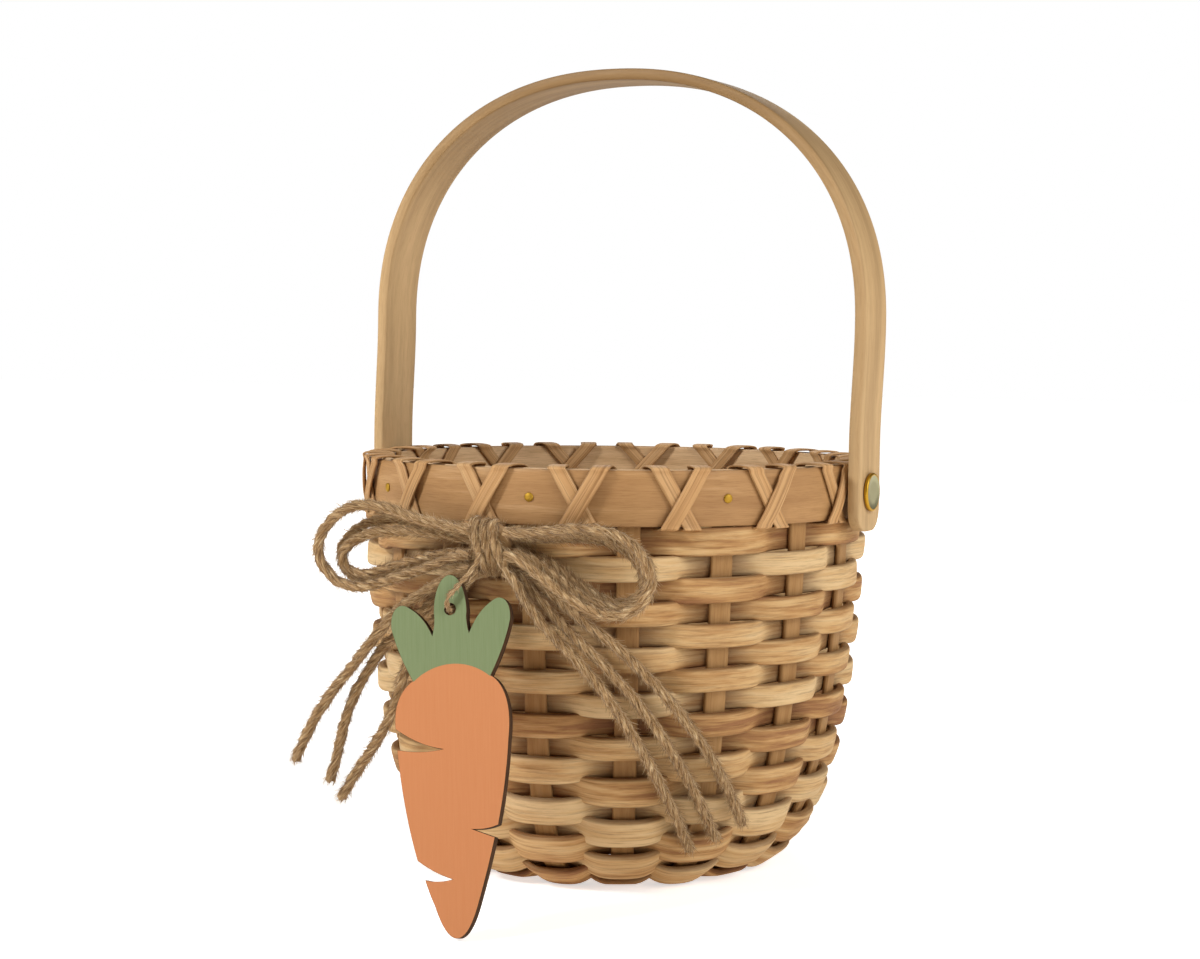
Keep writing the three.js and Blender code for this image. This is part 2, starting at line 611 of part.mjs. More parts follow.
// Bow loops, each in its own plane in front of the weave
const FRONT = -85;
const MIDDLE = -81.2;
const BACK = -77.5;
const LOOPS = {
  loop_left_1: [
    [-2.8, FRONT, 105.4], [-7, FRONT, 105.7], [-19.7, FRONT, 107.6], [-28, FRONT, 110], [-36, FRONT, 111],
    [-43.8, FRONT, 109], [-50, FRONT, 103.6], [-52, FRONT, 97.7], [-49.7, FRONT, 92.3],
    [-44.3, FRONT, 88.6], [-36.5, FRONT, 88.2], [-27, FRONT, 90.9], [-15.5, FRONT, 94.8],
    [-7, FRONT, 98.2], [-2.8, FRONT, 98.5],
  ],
  loop_left_2: [
    [-2.8, MIDDLE, 102.4], [-7, MIDDLE, 102.6], [-15, MIDDLE, 103.5], [-25.5, MIDDLE, 103.9],
    [-35.2, MIDDLE, 103], [-42, MIDDLE, 100.6], [-46.4, MIDDLE, 96.6], [-44.8, MIDDLE, 92.2],
    [-38.5, MIDDLE, 91], [-28.5, MIDDLE, 94], [-16.5, MIDDLE, 97.4], [-7, MIDDLE, 98.6], [-2.8, MIDDLE, 98.7],
  ],
  loop_left_3: [
    [-2.8, BACK, 103.8], [-7, BACK, 103.9], [-15, BACK - 0.3, 105.4], [-26, BACK - 0.5, 106.8],
    [-37, BACK - 0.8, 106], [-44.6, BACK - 0.8, 102.4], [-48.6, BACK - 0.8, 97], [-46.4, BACK - 0.8, 91.2],
    [-39.5, BACK - 0.8, 88.9], [-28, BACK - 0.5, 92.4], [-15.5, BACK - 0.3, 96], [-7, BACK, 97.4],
    [-2.8, BACK, 97.5],
  ],
  loop_right_1: [
    [7.8, FRONT, 105.2], [12, FRONT, 105.2], [20, FRONT, 106], [29, FRONT, 107], [38.4, FRONT, 106.6],
    [45.6, FRONT, 103.8], [50.3, FRONT, 98.7], [51.4, FRONT, 93.2], [48.4, FRONT, 87.8],
    [42.2, FRONT, 84.8], [35.1, FRONT, 85.2], [27.6, FRONT, 88.4], [20, FRONT, 93],
    [12, FRONT, 98.2], [7.8, FRONT, 98.9],
  ],
  loop_right_2: [
    [7.8, MIDDLE, 104.4], [12, MIDDLE, 104.4], [20, MIDDLE, 105], [28.5, MIDDLE, 105.6], [37, MIDDLE, 105],
    [43.6, MIDDLE, 102], [47.8, MIDDLE, 97], [48.6, MIDDLE, 92], [45.4, MIDDLE, 87.6],
    [39.6, MIDDLE, 86], [33, MIDDLE, 87.4], [26, MIDDLE, 90.6], [19, MIDDLE, 95],
    [12, MIDDLE, 98.6], [7.8, MIDDLE, 99.1],
  ],
  loop_right_3: [
    [7.8, BACK, 103.6], [12, BACK, 103.6], [20, BACK, 103.9], [28, BACK, 104.2], [35.6, BACK, 103.4],
    [41.8, BACK, 100.6], [45.6, BACK, 95.8], [45.8, BACK, 90.8], [42, BACK, 87.4],
    [36.4, BACK, 87], [30.4, BACK, 89.4], [24, BACK, 93], [17.6, BACK, 96.8], [12, BACK, 98.9],
    [7.8, BACK, 99.2],
  ],
};

// Loose ends, hanging down the front of the weave
const TAILS = {
  tail_left_1: [
    [-2.8, -85, 94.6], [-6.5, -85, 93.8], [-13, -84.5, 90], [-20, -84, 86.2], [-27, -83.6, 81.6],
    [-31.8, -83.4, 76.5], [-36.8, -83.2, 70.8], [-43, -83, 63.6], [-49, -82.6, 57], [-54, -82.2, 50.4],
    [-57.6, -82, 44.6], [-60.4, -82, 39], [-61.6, -82, 36.4],
  ],
  tail_left_2: [
    [-2.8, -81.2, 94.6], [-6.5, -81.1, 93.4], [-14, -80.6, 87.6], [-22, -80, 80.4], [-28, -79.8, 75.4],
    [-33.6, -79.5, 70.6], [-38.6, -79.4, 64], [-42.4, -79.2, 58.2], [-45.2, -79, 52.8], [-47.2, -79, 47],
    [-48.8, -79, 41], [-50.6, -78.8, 35], [-52, -78.8, 31],
  ],
  tail_left_3: [
    [-2.8, -77.8, 93.6], [-6.5, -77.9, 91.6], [-12, -77.8, 86], [-18, -77.5, 79.2], [-24, -77, 71.6],
    [-28, -76.5, 65], [-30.2, -76.3, 59.2], [-32.4, -76, 53], [-35.2, -76, 47.6], [-38.8, -76, 41.8],
    [-43.2, -76, 35.6], [-47.8, -76, 29], [-50, -76, 25.5],
  ],
  tail_right_1: [
    [7.8, -77.9, 95.2], [11, -78.1, 93.8], [15.5, -77.7, 90], [22, -75.8, 84.6], [29, -73.4, 79],
    [36, -69.2, 72.4], [42, -64.5, 65], [47.2, -59.8, 57.4], [51.6, -54.6, 49], [54.4, -49.2, 41],
    [56.4, -43, 32.4], [57.5, -37.6, 24.6], [57.7, -35.6, 21.5],
  ],
  tail_right_2: [
    [7.8, -81.2, 94.6], [11, -81.2, 92.6], [15, -80.8, 88], [21, -78.6, 81.4], [27, -75.3, 74.6],
    [33, -71, 67.2], [38.5, -66.5, 59.4], [43, -61.8, 51], [46.5, -57, 42.6], [49, -51.5, 34],
    [50.6, -46.4, 26], [51.6, -42.2, 19.8], [51.9, -40.6, 17.5],
  ],
  tail_right_3: [
    [7.8, -85, 94.8], [10.8, -85, 92.4], [14.4, -84.4, 86.4], [19, -82, 79.6], [24, -78.2, 73],
    [29, -74.2, 66], [33.5, -70.4, 58.4], [37.2, -66.5, 50.4], [40.5, -61.6, 41.6], [42.6, -56.4, 33],
    [44.2, -51.4, 25.4], [45.4, -47, 17.8], [45.9, -45.2, 14.6],
  ],
};

// Tag string: down the front of the tag, through its hole and up behind it
const HANGER = [
  [1.6, -87.9, 99.5], [1.2, -88.6, 97.2], [0, -90.3, 94.2], [-2, -92.8, 91], [-3.9, -94.6, 88.2],
  [-4.4, -94.9, 86.2], [-4.4, -94, 84.5], [-4.5, -92, 84], [-4.8, -90.2, 83.9], [-5.1, -89, 84.7],
  [-5.2, -88.3, 86.4], [-4.2, -87.6, 88.7], [-2, -87, 91], [0, -87.2, 93.2], [0.6, -87.4, 94],
];

// Turns of twine pressed flat against each other, closed over the strands inside
function knot() {
  const end = (KNOT_TURNS * TWINE_DIAMETER) / 2;
  const groove = KNOT_RADIUS - KNOT_GROOVE;
  const shoulder = KNOT_RADIUS - KNOT_GROOVE / 4;
  const outline = [[0, -end], [groove, -end]];
  for (let turn = 0; turn < KNOT_TURNS; turn += 1) {
    const start = turn * TWINE_DIAMETER - end;
    outline.push([shoulder, start + TWINE_DIAMETER / 4], [KNOT_RADIUS, start + TWINE_DIAMETER / 2]);
    outline.push([shoulder, start + (3 * TWINE_DIAMETER) / 4], [groove, start + TWINE_DIAMETER]);
  }
  outline.push([0, end]);
  const geometry = new THREE.LatheGeometry(outline.map(([x, y]) => new THREE.Vector2(x, y)), KNOT_SIDES);
  geometry.rotateZ(-Math.PI / 2);
  geometry.scale(1, KNOT_FLATTEN, 1);
  return geometry;
}

function bow() {
  const group = new THREE.Group();
  const wrap = meshOf("bow_knot", knot(), twine);
  wrap.position.copy(KNOT_CENTRE);
  group.add(wrap);
  for (const [name, points] of Object.entries({ ...LOOPS, ...TAILS })) {
    group.add(meshOf(`bow_${name}`, cord(points, TWINE_DIAMETER, TWINE_STEP), twine));
  }
  group.add(meshOf("tag_hanger", cord(HANGER, HANGER_DIAMETER, HANGER_STEP), twine));
  return group;
}

// Carrot outline about its hole: three leaves over a root with three carved notches
function tagShape() {
  const tip = -TAG_LENGTH;
  const wide = TAG_HALF_WIDTH;
  const leaf = LEAF_HALF_WIDTH;
  const shape = new THREE.Shape();
  shape.moveTo(0, tip);
  shape.bezierCurveTo(2.4, tip, 4.4, tip + 3.6, 6, tip + 8.6);
  shape.quadraticCurveTo(8.8, tip + 17, 11, tip + 25.6);
  shape.quadraticCurveTo(7.6, tip + 26.9, 4.9, tip + 28);
  shape.quadraticCurveTo(9, tip + 27.6, 12, tip + 28.8);
  shape.quadraticCurveTo(14.6, tip + 40, wide - 0.7, tip + 51);
  shape.bezierCurveTo(wide + 0.6, tip + 60, wide - 1.4, tip + 66, 11, tip + 68.4);
  shape.quadraticCurveTo(wide - 1, tip + 76, wide + 0.7, tip + 83);
  shape.bezierCurveTo(wide + 1.2, tip + 88, wide - 1.6, tip + 90.6, wide - 4.4, tip + 88.4);
  shape.quadraticCurveTo(leaf + 3, tip + 86, leaf + 0.5, tip + 80.3);
  shape.quadraticCurveTo(leaf - 0.4, tip + 84, leaf, -1);
  shape.bezierCurveTo(leaf, 5, 2.6, LEAF_RISE, 0, LEAF_RISE);
  shape.bezierCurveTo(-2.6, LEAF_RISE, -leaf, 5, -leaf, -1);
  shape.quadraticCurveTo(0.4 - leaf, tip + 84, -leaf - 0.5, tip + 80.3);
  shape.quadraticCurveTo(-leaf - 3, tip + 86, 4.4 - wide, tip + 88.4);
  shape.bezierCurveTo(1.6 - wide, tip + 90.6, -wide - 1.2, tip + 88, -wide - 0.7, tip + 83);
  shape.quadraticCurveTo(1 - wide, tip + 76, -11, tip + 68.4);
  shape.bezierCurveTo(1.4 - wide, tip + 66, -wide - 0.4, tip + 62, -wide, tip + 55.8);
  shape.quadraticCurveTo(-10, tip + 51, -3, tip + 49.6);
  shape.quadraticCurveTo(-9, tip + 48.6, 0.4 - wide, tip + 50.2);
  shape.quadraticCurveTo(-14.4, tip + 34, -10.6, tip + 20.6);
  shape.quadraticCurveTo(-6, tip + 17, -1, tip + 15.3);
  shape.quadraticCurveTo(-5, tip + 14.4, -8.6, tip + 15.5);
  shape.quadraticCurveTo(-7.4, tip + 11.6, -6, tip + 8.6);
  shape.bezierCurveTo(-4.4, tip + 3.6, -2.4, tip, 0, tip);
  const hole = new THREE.Path();
  hole.absarc(0, 0, TAG_HOLE_RADIUS, 0, 2 * Math.PI, true);
  shape.holes.push(hole);
  return shape;
}

// The tip leans out until it stands on the table, and the face turns a little to the right
function tag() {
  const geometry = new THREE.ExtrudeGeometry(tagShape(), {
    depth: TAG_THICK, curveSegments: 5, bevelEnabled: false,
  });
  geometry.translate(0, 0, -TAG_THICK / 2);
  const drop = Math.min(TAG_HOLE.z - TAG_LIFT, TAG_LENGTH);
  const out = Math.sqrt(TAG_LENGTH ** 2 - drop ** 2);
  const heading = radians(TAG_HEADING);
  const up = new THREE.Vector3(-out * Math.sin(heading), out * Math.cos(heading), drop).normalize();
  const right = new THREE.Vector3(1, 0, 0).projectOnPlane(up).normalize();
  right.applyAxisAngle(up, radians(TAG_TURN));
  const front = new THREE.Vector3().crossVectors(right, up);
  const mesh = meshOf("carrot_tag", geometry, paintedWood);
  mesh.quaternion.setFromRotationMatrix(new THREE.Matrix4().makeBasis(right, up, front));
  mesh.position.copy(TAG_HOLE);
  return mesh;
}

const basket = new THREE.Group();
basket.add(splints(), weavers(), rim(), handle(), bow(), tag());

export default basket;
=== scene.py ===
"""Woven wooden basket with a swing handle, a twine bow and a hanging carrot tag.

Sizes are in millimetres until a mesh is made, in the part's own frame: +Z up, -Y to the front.
"""
import math

import bmesh
import bpy
import numpy as np
from mathutils import Matrix, Vector


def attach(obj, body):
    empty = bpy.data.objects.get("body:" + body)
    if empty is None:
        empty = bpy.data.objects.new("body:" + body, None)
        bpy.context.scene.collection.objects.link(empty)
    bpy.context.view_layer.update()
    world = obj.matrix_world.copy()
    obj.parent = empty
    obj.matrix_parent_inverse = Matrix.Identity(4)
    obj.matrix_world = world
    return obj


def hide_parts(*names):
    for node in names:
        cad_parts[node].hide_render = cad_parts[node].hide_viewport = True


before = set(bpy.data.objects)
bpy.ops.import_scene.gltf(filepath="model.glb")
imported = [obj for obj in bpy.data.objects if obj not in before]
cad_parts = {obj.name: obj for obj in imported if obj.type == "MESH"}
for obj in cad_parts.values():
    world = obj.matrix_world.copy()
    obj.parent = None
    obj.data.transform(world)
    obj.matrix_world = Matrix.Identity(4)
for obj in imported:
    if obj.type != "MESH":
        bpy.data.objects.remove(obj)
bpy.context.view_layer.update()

MM = 0.001
CLEARANCE = 0.3

# Stakes and body outline
STAKE_COUNT = 17
STAKE_PHASE = 2.1
STAKE_ANGLE = 360 / STAKE_COUNT
STAKE_WIDTH, STAKE_THICK, STAKE_INSET = 6.5, 1.6, 1.5
SPOKE_WIDTH, SPOKE_LANE, FAN_RADIUS = 4.0, 4.8, 24.0
BASE_RADIUS, RIM_RADIUS = 40.0, 72.4
CORNER_REACH, WALL_DROP, WALL_LEAN = 23.5, 61.5, 2.4

# Weavers
WEAVER_HEIGHT, WEAVER_THICK, ROW_GAP = 5.7, 2.2, 0.6
WEAVER_SPAN, WEAVER_TIP, LEVEL_STAKE = 24, 1.2, 16.5
ROW_PITCH = WEAVER_HEIGHT + ROW_GAP
WEAVE_OFFSET = STAKE_THICK / 2 + CLEARANCE + WEAVER_THICK / 2
BASE_Z = WEAVE_OFFSET + WEAVER_THICK / 2

# Rim and handle
HOOP_BOTTOM, HOOP_HEIGHT, HOOP_THICK = 106.5, 15.5, 2.0
HOOP_LAP, HOOP_FEATHER, HOOP_SEAM = 24.0, 0.4, 128.0
RIM_TOP = HOOP_BOTTOM + HOOP_HEIGHT
PIVOT_Z = HOOP_BOTTOM + HOOP_HEIGHT / 2
OUTER_HOOP_IN = math.hypot(RIM_RADIUS + STAKE_THICK / 2, STAKE_WIDTH / 2) + CLEARANCE
OUTER_HOOP_OUT = OUTER_HOOP_IN + HOOP_THICK
INNER_HOOP_OUT = RIM_RADIUS - STAKE_THICK / 2 - CLEARANCE
INNER_HOOP_IN = INNER_HOOP_OUT - HOOP_THICK
LASH_WIDTH, LASH_THICK = 5.2, 0.7
LASH_SPREAD, LASH_CLOSE, LASH_DRIFT = 4.6, 2.6, 0.6
LASH_SEAT = CLEARANCE + LASH_THICK / 2
LASH_LIFT = LASH_THICK + CLEARANCE
HANDLE_WIDTH, HANDLE_THICK, HANDLE_TOP = 18.6, 3.5, 238.3
HANDLE_FOOT, HANDLE_CORNER, HANDLE_UPRIGHT = 11.3, 6.5, 12.0
HANDLE_ARCH, HANDLE_SKEW, HANDLE_FULLNESS = 73.2, 1.25, 2.2
HANDLE_IN = OUTER_HOOP_OUT + LASH_SEAT + LASH_LIFT + LASH_THICK / 2 + CLEARANCE
HANDLE_OUT = HANDLE_IN + HANDLE_THICK
NAILED_STAKES = (1, 3, 5, 7, 9, 11, 13, 15)
NAIL_HEAD_RADIUS, NAIL_HEAD_THICK = 1.3, 0.5
RIVET_HEAD_RADIUS, RIVET_HEAD_THICK, RIVET_SHANK_RADIUS = 5.6, 1.2, 1.75
RIVET_TAIL_RADIUS, RIVET_TAIL_THICK, RIVET_EDGE = 2.6, 0.8, 0.3

# Twine and tag
TWINE_DIAMETER, HANGER_DIAMETER = 3.2, 1.5
TWINE_MAKE, HANGER_MAKE = (3, 12, 2.4), (2, 6, 1.3)  # plies, lay and length of the loose fibres
FIBRE_TIP, FIBRE_ROOT = 0.03, 0.06  # radii
FIBRES_PER_AREA = 2e6  # in a square metre
TAG_HOLE = Vector((-4.5, -92.0, 84.1))
TAG_LENGTH, TAG_HEADING, TAG_TURN, TAG_LIFT = 87.1, 35.6, 10.0, 0.7
TAG_THICK, TAG_HOLE_RADIUS = 3.0, 1.6
TAG_HALF_WIDTH, LEAF_HALF_WIDTH, LEAF_RISE = 16.2, 4.7, 9.4
ROOT_DROP, ROOT_RADIUS, LEAF_FROM = 31.2, 16.3, 12.3  # the orange paint's arc, and where green starts


# Node trees

def linear(code):
    """An sRGB hex colour as linear light."""
    parts = [int(code[i:i + 2], 16) / 255 for i in (1, 3, 5)]
    return tuple(c / 12.92 if c <= 0.04045 else ((c + 0.055) / 1.055) ** 2.4 for c in parts) + (1.0,)


def add(tree, kind, inputs=None, stops=(), **settings):
    """Adds a node, sets it, fills its inputs and colours a ramp by (place, hex) stops.

    An input is filled with a plain value, a socket, or a node, which stands for its first output in use.
    """
    node = tree.nodes.new(kind)
    for key, value in settings.items():
        setattr(node, key, value)
    for key, value in (inputs or {}).items():
        if isinstance(value, bpy.types.Node):
            value = next(socket for socket in value.outputs if socket.enabled)
        if isinstance(value, bpy.types.NodeSocket):
            tree.links.new(value, node.inputs[key])
        else:
            node.inputs[key].default_value = value
    for number, (place, code) in enumerate(stops):
        elements = node.color_ramp.elements
        element = elements[number] if number < len(elements) else elements.new(place)
        element.position, element.color = place, linear(code)
    return node


def blank_material(name):
    material = bpy.data.materials.new(name)
    material.use_nodes = True
    material.node_tree.nodes.clear()
    return material, material.node_tree


def drawn_noise(tree, place, sizes, detail=3.0, roughness=0.5):
    """Noise whose features have these sizes in millimetres along the three axes."""
    scaled = add(tree, "ShaderNodeMapping", {
        "Vector": place, "Scale": tuple(1 / (size * MM) for size in sizes)})
    return add(tree, "ShaderNodeTexNoise", {
        "Vector": scaled, "Scale": 1.0, "Detail": detail, "Roughness": roughness})


def surface(tree, inputs):
    shader = add(tree, "ShaderNodeBsdfPrincipled", inputs)
    add(tree, "ShaderNodeOutputMaterial", {"Surface": shader})


# Wood in strips. Each strip carries "strip", its own coordinates in metres along, across and
# through it, and "shade": its tint, how deep it lies in the weave, and how near its edge is.
def strip_wood(name, stops, streak, fibre, tint_share, dive_shade_share, edge_shade_share, grain_and_shade_code, line_share,
               rough, relief):
    """Streak and fibre are the grain's length and width in millimetres, relief its height."""
    material, tree = blank_material(name)
    place = add(tree, "ShaderNodeAttribute", attribute_name="strip").outputs["Vector"]
    shade = add(tree, "ShaderNodeAttribute", attribute_name="shade").outputs["Vector"]
    shades = add(tree, "ShaderNodeSeparateXYZ", {"Vector": shade})
    blotch = drawn_noise(tree, place, (*streak, streak[1]), 4.0, 0.6)
    lines = drawn_noise(tree, place, (*fibre, fibre[1]), 5.0, 0.72)
    tinted = add(tree, "ShaderNodeMath", {
        0: shades.outputs["X"], 1: tint_share, 2: blotch}, operation="MULTIPLY_ADD")
    tone = add(tree, "ShaderNodeMath", {0: tinted, 1: tint_share / 2}, operation="SUBTRACT")
    colour = add(tree, "ShaderNodeValToRGB", {"Fac": tone}, stops)
    dark = add(tree, "ShaderNodeMapRange", {
        "Value": lines, "From Min": 0.48, "From Max": 0.72, "To Max": line_share})
    grained = add(tree, "ShaderNodeMix", {
        "Factor": dark, "A": colour, "B": linear(grain_and_shade_code)}, data_type="RGBA")
    through = add(tree, "ShaderNodeSeparateXYZ", {"Vector": place})
    # Painted shade along the strip's edges, where the crevices between strips lie
    edge = add(tree, "ShaderNodeMapRange", {
        "Value": shades.outputs["Z"], "From Min": 0.84, "From Max": 1.0, "To Max": edge_shade_share})
    # Painted shade: only the side turned to the outside darkens where the strip dives into the weave behind
    # a stake
    facing = add(tree, "ShaderNodeMapRange", {
        "Value": through.outputs["Z"], "From Min": -0.3 * MM, "From Max": 0.3 * MM, "To Max": dive_shade_share})
    sunk = add(tree, "ShaderNodeMath", {0: shades.outputs["Y"], 1: facing, 2: edge},
               operation="MULTIPLY_ADD", use_clamp=True)
    shadowed = add(tree, "ShaderNodeMix", {
        "Factor": sunk, "A": grained, "B": linear(grain_and_shade_code)}, data_type="RGBA")
    rough_at = add(tree, "ShaderNodeMapRange", {
        "Value": lines, "To Min": rough - 0.08, "To Max": rough + 0.1})
    bump = add(tree, "ShaderNodeBump", {"Height": lines, "Distance": relief * MM, "Strength": 1.0})
    surface(tree, {
        "Base Color": shadowed, "Roughness": rough_at, "Normal": bump, "IOR": 1.5,
        "Specular IOR Level": 0.3})
    return material


# Split willow: dull honey strips, some redder, with fibres in bundles under a millimetre wide
split_willow = strip_wood(
    "split_willow", [(0.26, "#936742"), (0.4, "#B48A58"), (0.54, "#CAA674"), (0.74, "#D6BA8D")],
    streak=(26, 2.4), fibre=(15, 0.75), tint_share=0.4, dive_shade_share=0.65, edge_shade_share=0.55,
    grain_and_shade_code="#582D0C", line_share=0.54, rough=0.62, relief=0.28)
# Stakes: the same wood, planed flat and a little darker
stake_willow = strip_wood(
    "planed_willow", [(0.2, "#8E673C"), (0.5, "#A27B4C"), (0.85, "#B28C5D")],
    streak=(26, 2.4), fibre=(11, 0.4), tint_share=0.3, dive_shade_share=0.0, edge_shade_share=0.25,
    grain_and_shade_code="#6E4824", line_share=0.4, rough=0.6, relief=0.1)
# Bent ash hoop: smooth and warm, with short dark pores along the strip; its palest end is painted light for
# the inner hoop
bent_ash = strip_wood(
    "bent_ash", [(0.2, "#9A7248"), (0.5, "#B0885A"), (0.9, "#E8C69A")],
    streak=(60, 5), fibre=(6, 0.24), tint_share=0.65, dive_shade_share=0.0, edge_shade_share=0.2,
    grain_and_shade_code="#7A5330", line_share=0.5, rough=0.5, relief=0.06)
# Flat cane: paler, ridged along its length about twice in a millimetre
flat_cane = strip_wood(
    "flat_cane", [(0.2, "#A97D4D"), (0.5, "#C49A69"), (0.85, "#D8B486")],
    streak=(40, 2.0), fibre=(70, 0.5), tint_share=0.2, dive_shade_share=0.0, edge_shade_share=0.35,
    grain_and_shade_code="#744E28", line_share=0.85, rough=0.55, relief=0.25)
# Sanded beech: pale and even, with faint long flecks, and painted shade over the arch
sanded_beech = strip_wood(
    "sanded_beech", [(0.1, "#7E633E"), (0.66, "#B99C73"), (0.95, "#CEB084")],
    streak=(70, 5), fibre=(6, 0.45), tint_share=1.0, dive_shade_share=0.0, edge_shade_share=0.25,
    grain_and_shade_code="#8A683F", line_share=0.35, rough=0.55, relief=0.03)


def brass_material(name, code, rough):
    """Plain brass with fine handling marks, about a quarter of a millimetre apart."""
    material, tree = blank_material(name)
    place = add(tree, "ShaderNodeTexCoord").outputs["Object"]
    marks = drawn_noise(tree, place, (0.25, 0.25, 0.25))
    spread = add(tree, "ShaderNodeMapRange", {
        "Value": marks, "To Min": rough - 0.08, "To Max": rough + 0.1})
    surface(tree, {"Base Color": linear(code), "Metallic": 1.0, "Roughness": spread})
    return material


brass = brass_material("brass", "#C29B36", 0.38)
# Nail heads: unpolished brass, so they glint less than the rivets
unpolished_brass = brass_material("unpolished_brass", "#B8943A", 0.58)
# Rivet face: brass dulled to a grey green by lacquer and handling
dull_brass = brass_material("dulled_brass", "#A9AC90", 0.45)


# Jute: matt grey tan bast fibre, streaked light and dark along each ply
jute, tree = blank_material("jute")
place = add(tree, "ShaderNodeAttribute", attribute_name="lay").outputs["Vector"]
fibres = drawn_noise(tree, place, (4, 0.24, 0.24), roughness=0.65)
jute_colour = add(tree, "ShaderNodeValToRGB", {"Fac": fibres}, [
    (0.33, "#5E462B"), (0.45, "#93734D"), (0.55, "#BA9A70"), (0.68, "#DEC8A1")])
jute_bump = add(tree, "ShaderNodeBump", {"Height": fibres, "Distance": 0.5 * MM, "Strength": 1.0})
surface(tree, {
    "Base Color": jute_colour, "Roughness": 0.9, "Normal": jute_bump, "Specular IOR Level": 0.15,
    "Sheen Weight": 0.2, "Sheen Roughness": 0.5})


# Geometry Nodes trees
POINT_VECTORS = {"data_type": "FLOAT_VECTOR", "domain": "POINT"}


def new_tree(name, inputs):
    tree = bpy.data.node_groups.new(name, "GeometryNodeTree")
    for label, kind in [("Path", "NodeSocketGeometry"), *inputs]:
        tree.interface.new_socket(label, in_out="INPUT", socket_type=kind)
    tree.interface.new_socket("Geometry", in_out="OUTPUT", socket_type="NodeSocketGeometry")
    return tree, add(tree, "NodeGroupInput").outputs


def end_tree(tree, geometry, material):
    smooth = add(tree, "GeometryNodeSetShadeSmooth", {"Geometry": geometry})
    whole = add(tree, "GeometryNodeRealizeInstances", {"Geometry": smooth})
    dressed = add(tree, "GeometryNodeSetMaterial", {"Geometry": whole, "Material": material})
    add(tree, "NodeGroupOutput", {"Geometry": dressed})


def strip_tree():
    """A flat strip of rounded section along a path whose points carry across, out, half and shade."""
    tree, given = new_tree("bent_strip", [
        ("Points Around", "NodeSocketInt"), ("Edge Power", "NodeSocketFloat"),
        ("Material", "NodeSocketMaterial")])
    count = add(tree, "GeometryNodeAttributeDomainSize", {"Geometry": given["Path"]}, component="MESH")
    lanes = add(tree, "FunctionNodeIntegerMath", {0: given["Points Around"], 1: 1}, operation="ADD")
    grid = add(tree, "GeometryNodeMeshGrid", {
        "Vertices X": count.outputs["Point Count"], "Vertices Y": lanes})
    index = add(tree, "GeometryNodeInputIndex")
    ring = add(tree, "FunctionNodeIntegerMath", {0: index, 1: lanes}, operation="DIVIDE_FLOOR")
    lane = add(tree, "FunctionNodeIntegerMath", {0: index, 1: lanes}, operation="MODULO")
    turn = add(tree, "ShaderNodeMath", {0: lane, 1: given["Points Around"]}, operation="DIVIDE")
    angle = add(tree, "ShaderNodeMath", {0: turn, 1: math.tau}, operation="MULTIPLY")

    def carried(field):
        node = add(tree, "GeometryNodeSampleIndex", {
            "Geometry": given["Path"], "Value": field, "Index": ring}, **POINT_VECTORS)
        return node.outputs["Value"]

    def named(label):
        return carried(add(
            tree, "GeometryNodeInputNamedAttribute", {"Name": label}, data_type="FLOAT_VECTOR"))

    def rounded(operation):
        wave = add(tree, "ShaderNodeMath", {0: angle}, operation=operation)
        size = add(tree, "ShaderNodeMath", {0: wave}, operation="ABSOLUTE")
        bent = add(tree, "ShaderNodeMath", {0: size, 1: given["Edge Power"]}, operation="POWER")
        side = add(tree, "ShaderNodeMath", {0: wave}, operation="SIGN")
        return bent, add(tree, "ShaderNodeMath", {0: bent, 1: side}, operation="MULTIPLY")

    half = add(tree, "ShaderNodeSeparateXYZ", {"Vector": named("half")})
    edge, x = rounded("COSINE")
    _, y = rounded("SINE")
    wide = add(tree, "ShaderNodeMath", {0: half.outputs["X"], 1: x}, operation="MULTIPLY")
    deep = add(tree, "ShaderNodeMath", {0: half.outputs["Y"], 1: y}, operation="MULTIPLY")
    sideways = add(tree, "ShaderNodeVectorMath", {0: named("across"), "Scale": wide}, operation="SCALE")
    outwards = add(tree, "ShaderNodeVectorMath", {0: named("out"), "Scale": deep}, operation="SCALE")
    shift = add(tree, "ShaderNodeVectorMath", {0: sideways, 1: outwards})
    middle = carried(add(tree, "GeometryNodeInputPosition"))
    point = add(tree, "ShaderNodeVectorMath", {0: middle, 1: shift})
    own = add(tree, "ShaderNodeCombineXYZ", {"X": half.outputs["Z"], "Y": wide, "Z": deep})
    shade = add(tree, "ShaderNodeSeparateXYZ", {"Vector": named("shade")})
    shaded = add(tree, "ShaderNodeCombineXYZ", {
        "X": shade.outputs["X"], "Y": shade.outputs["Y"], "Z": edge})
    marked = grid
    for label, value in (("strip", own), ("shade", shaded)):
        marked = add(tree, "GeometryNodeStoreNamedAttribute", {
            "Geometry": marked, "Name": label, "Value": value}, **POINT_VECTORS)
    placed = add(tree, "GeometryNodeSetPosition", {"Geometry": marked, "Position": point})
    closed = add(tree, "GeometryNodeMergeByDistance", {"Geometry": placed, "Distance": 1e-6})
    end_tree(tree, closed, given["Material"])
    return tree


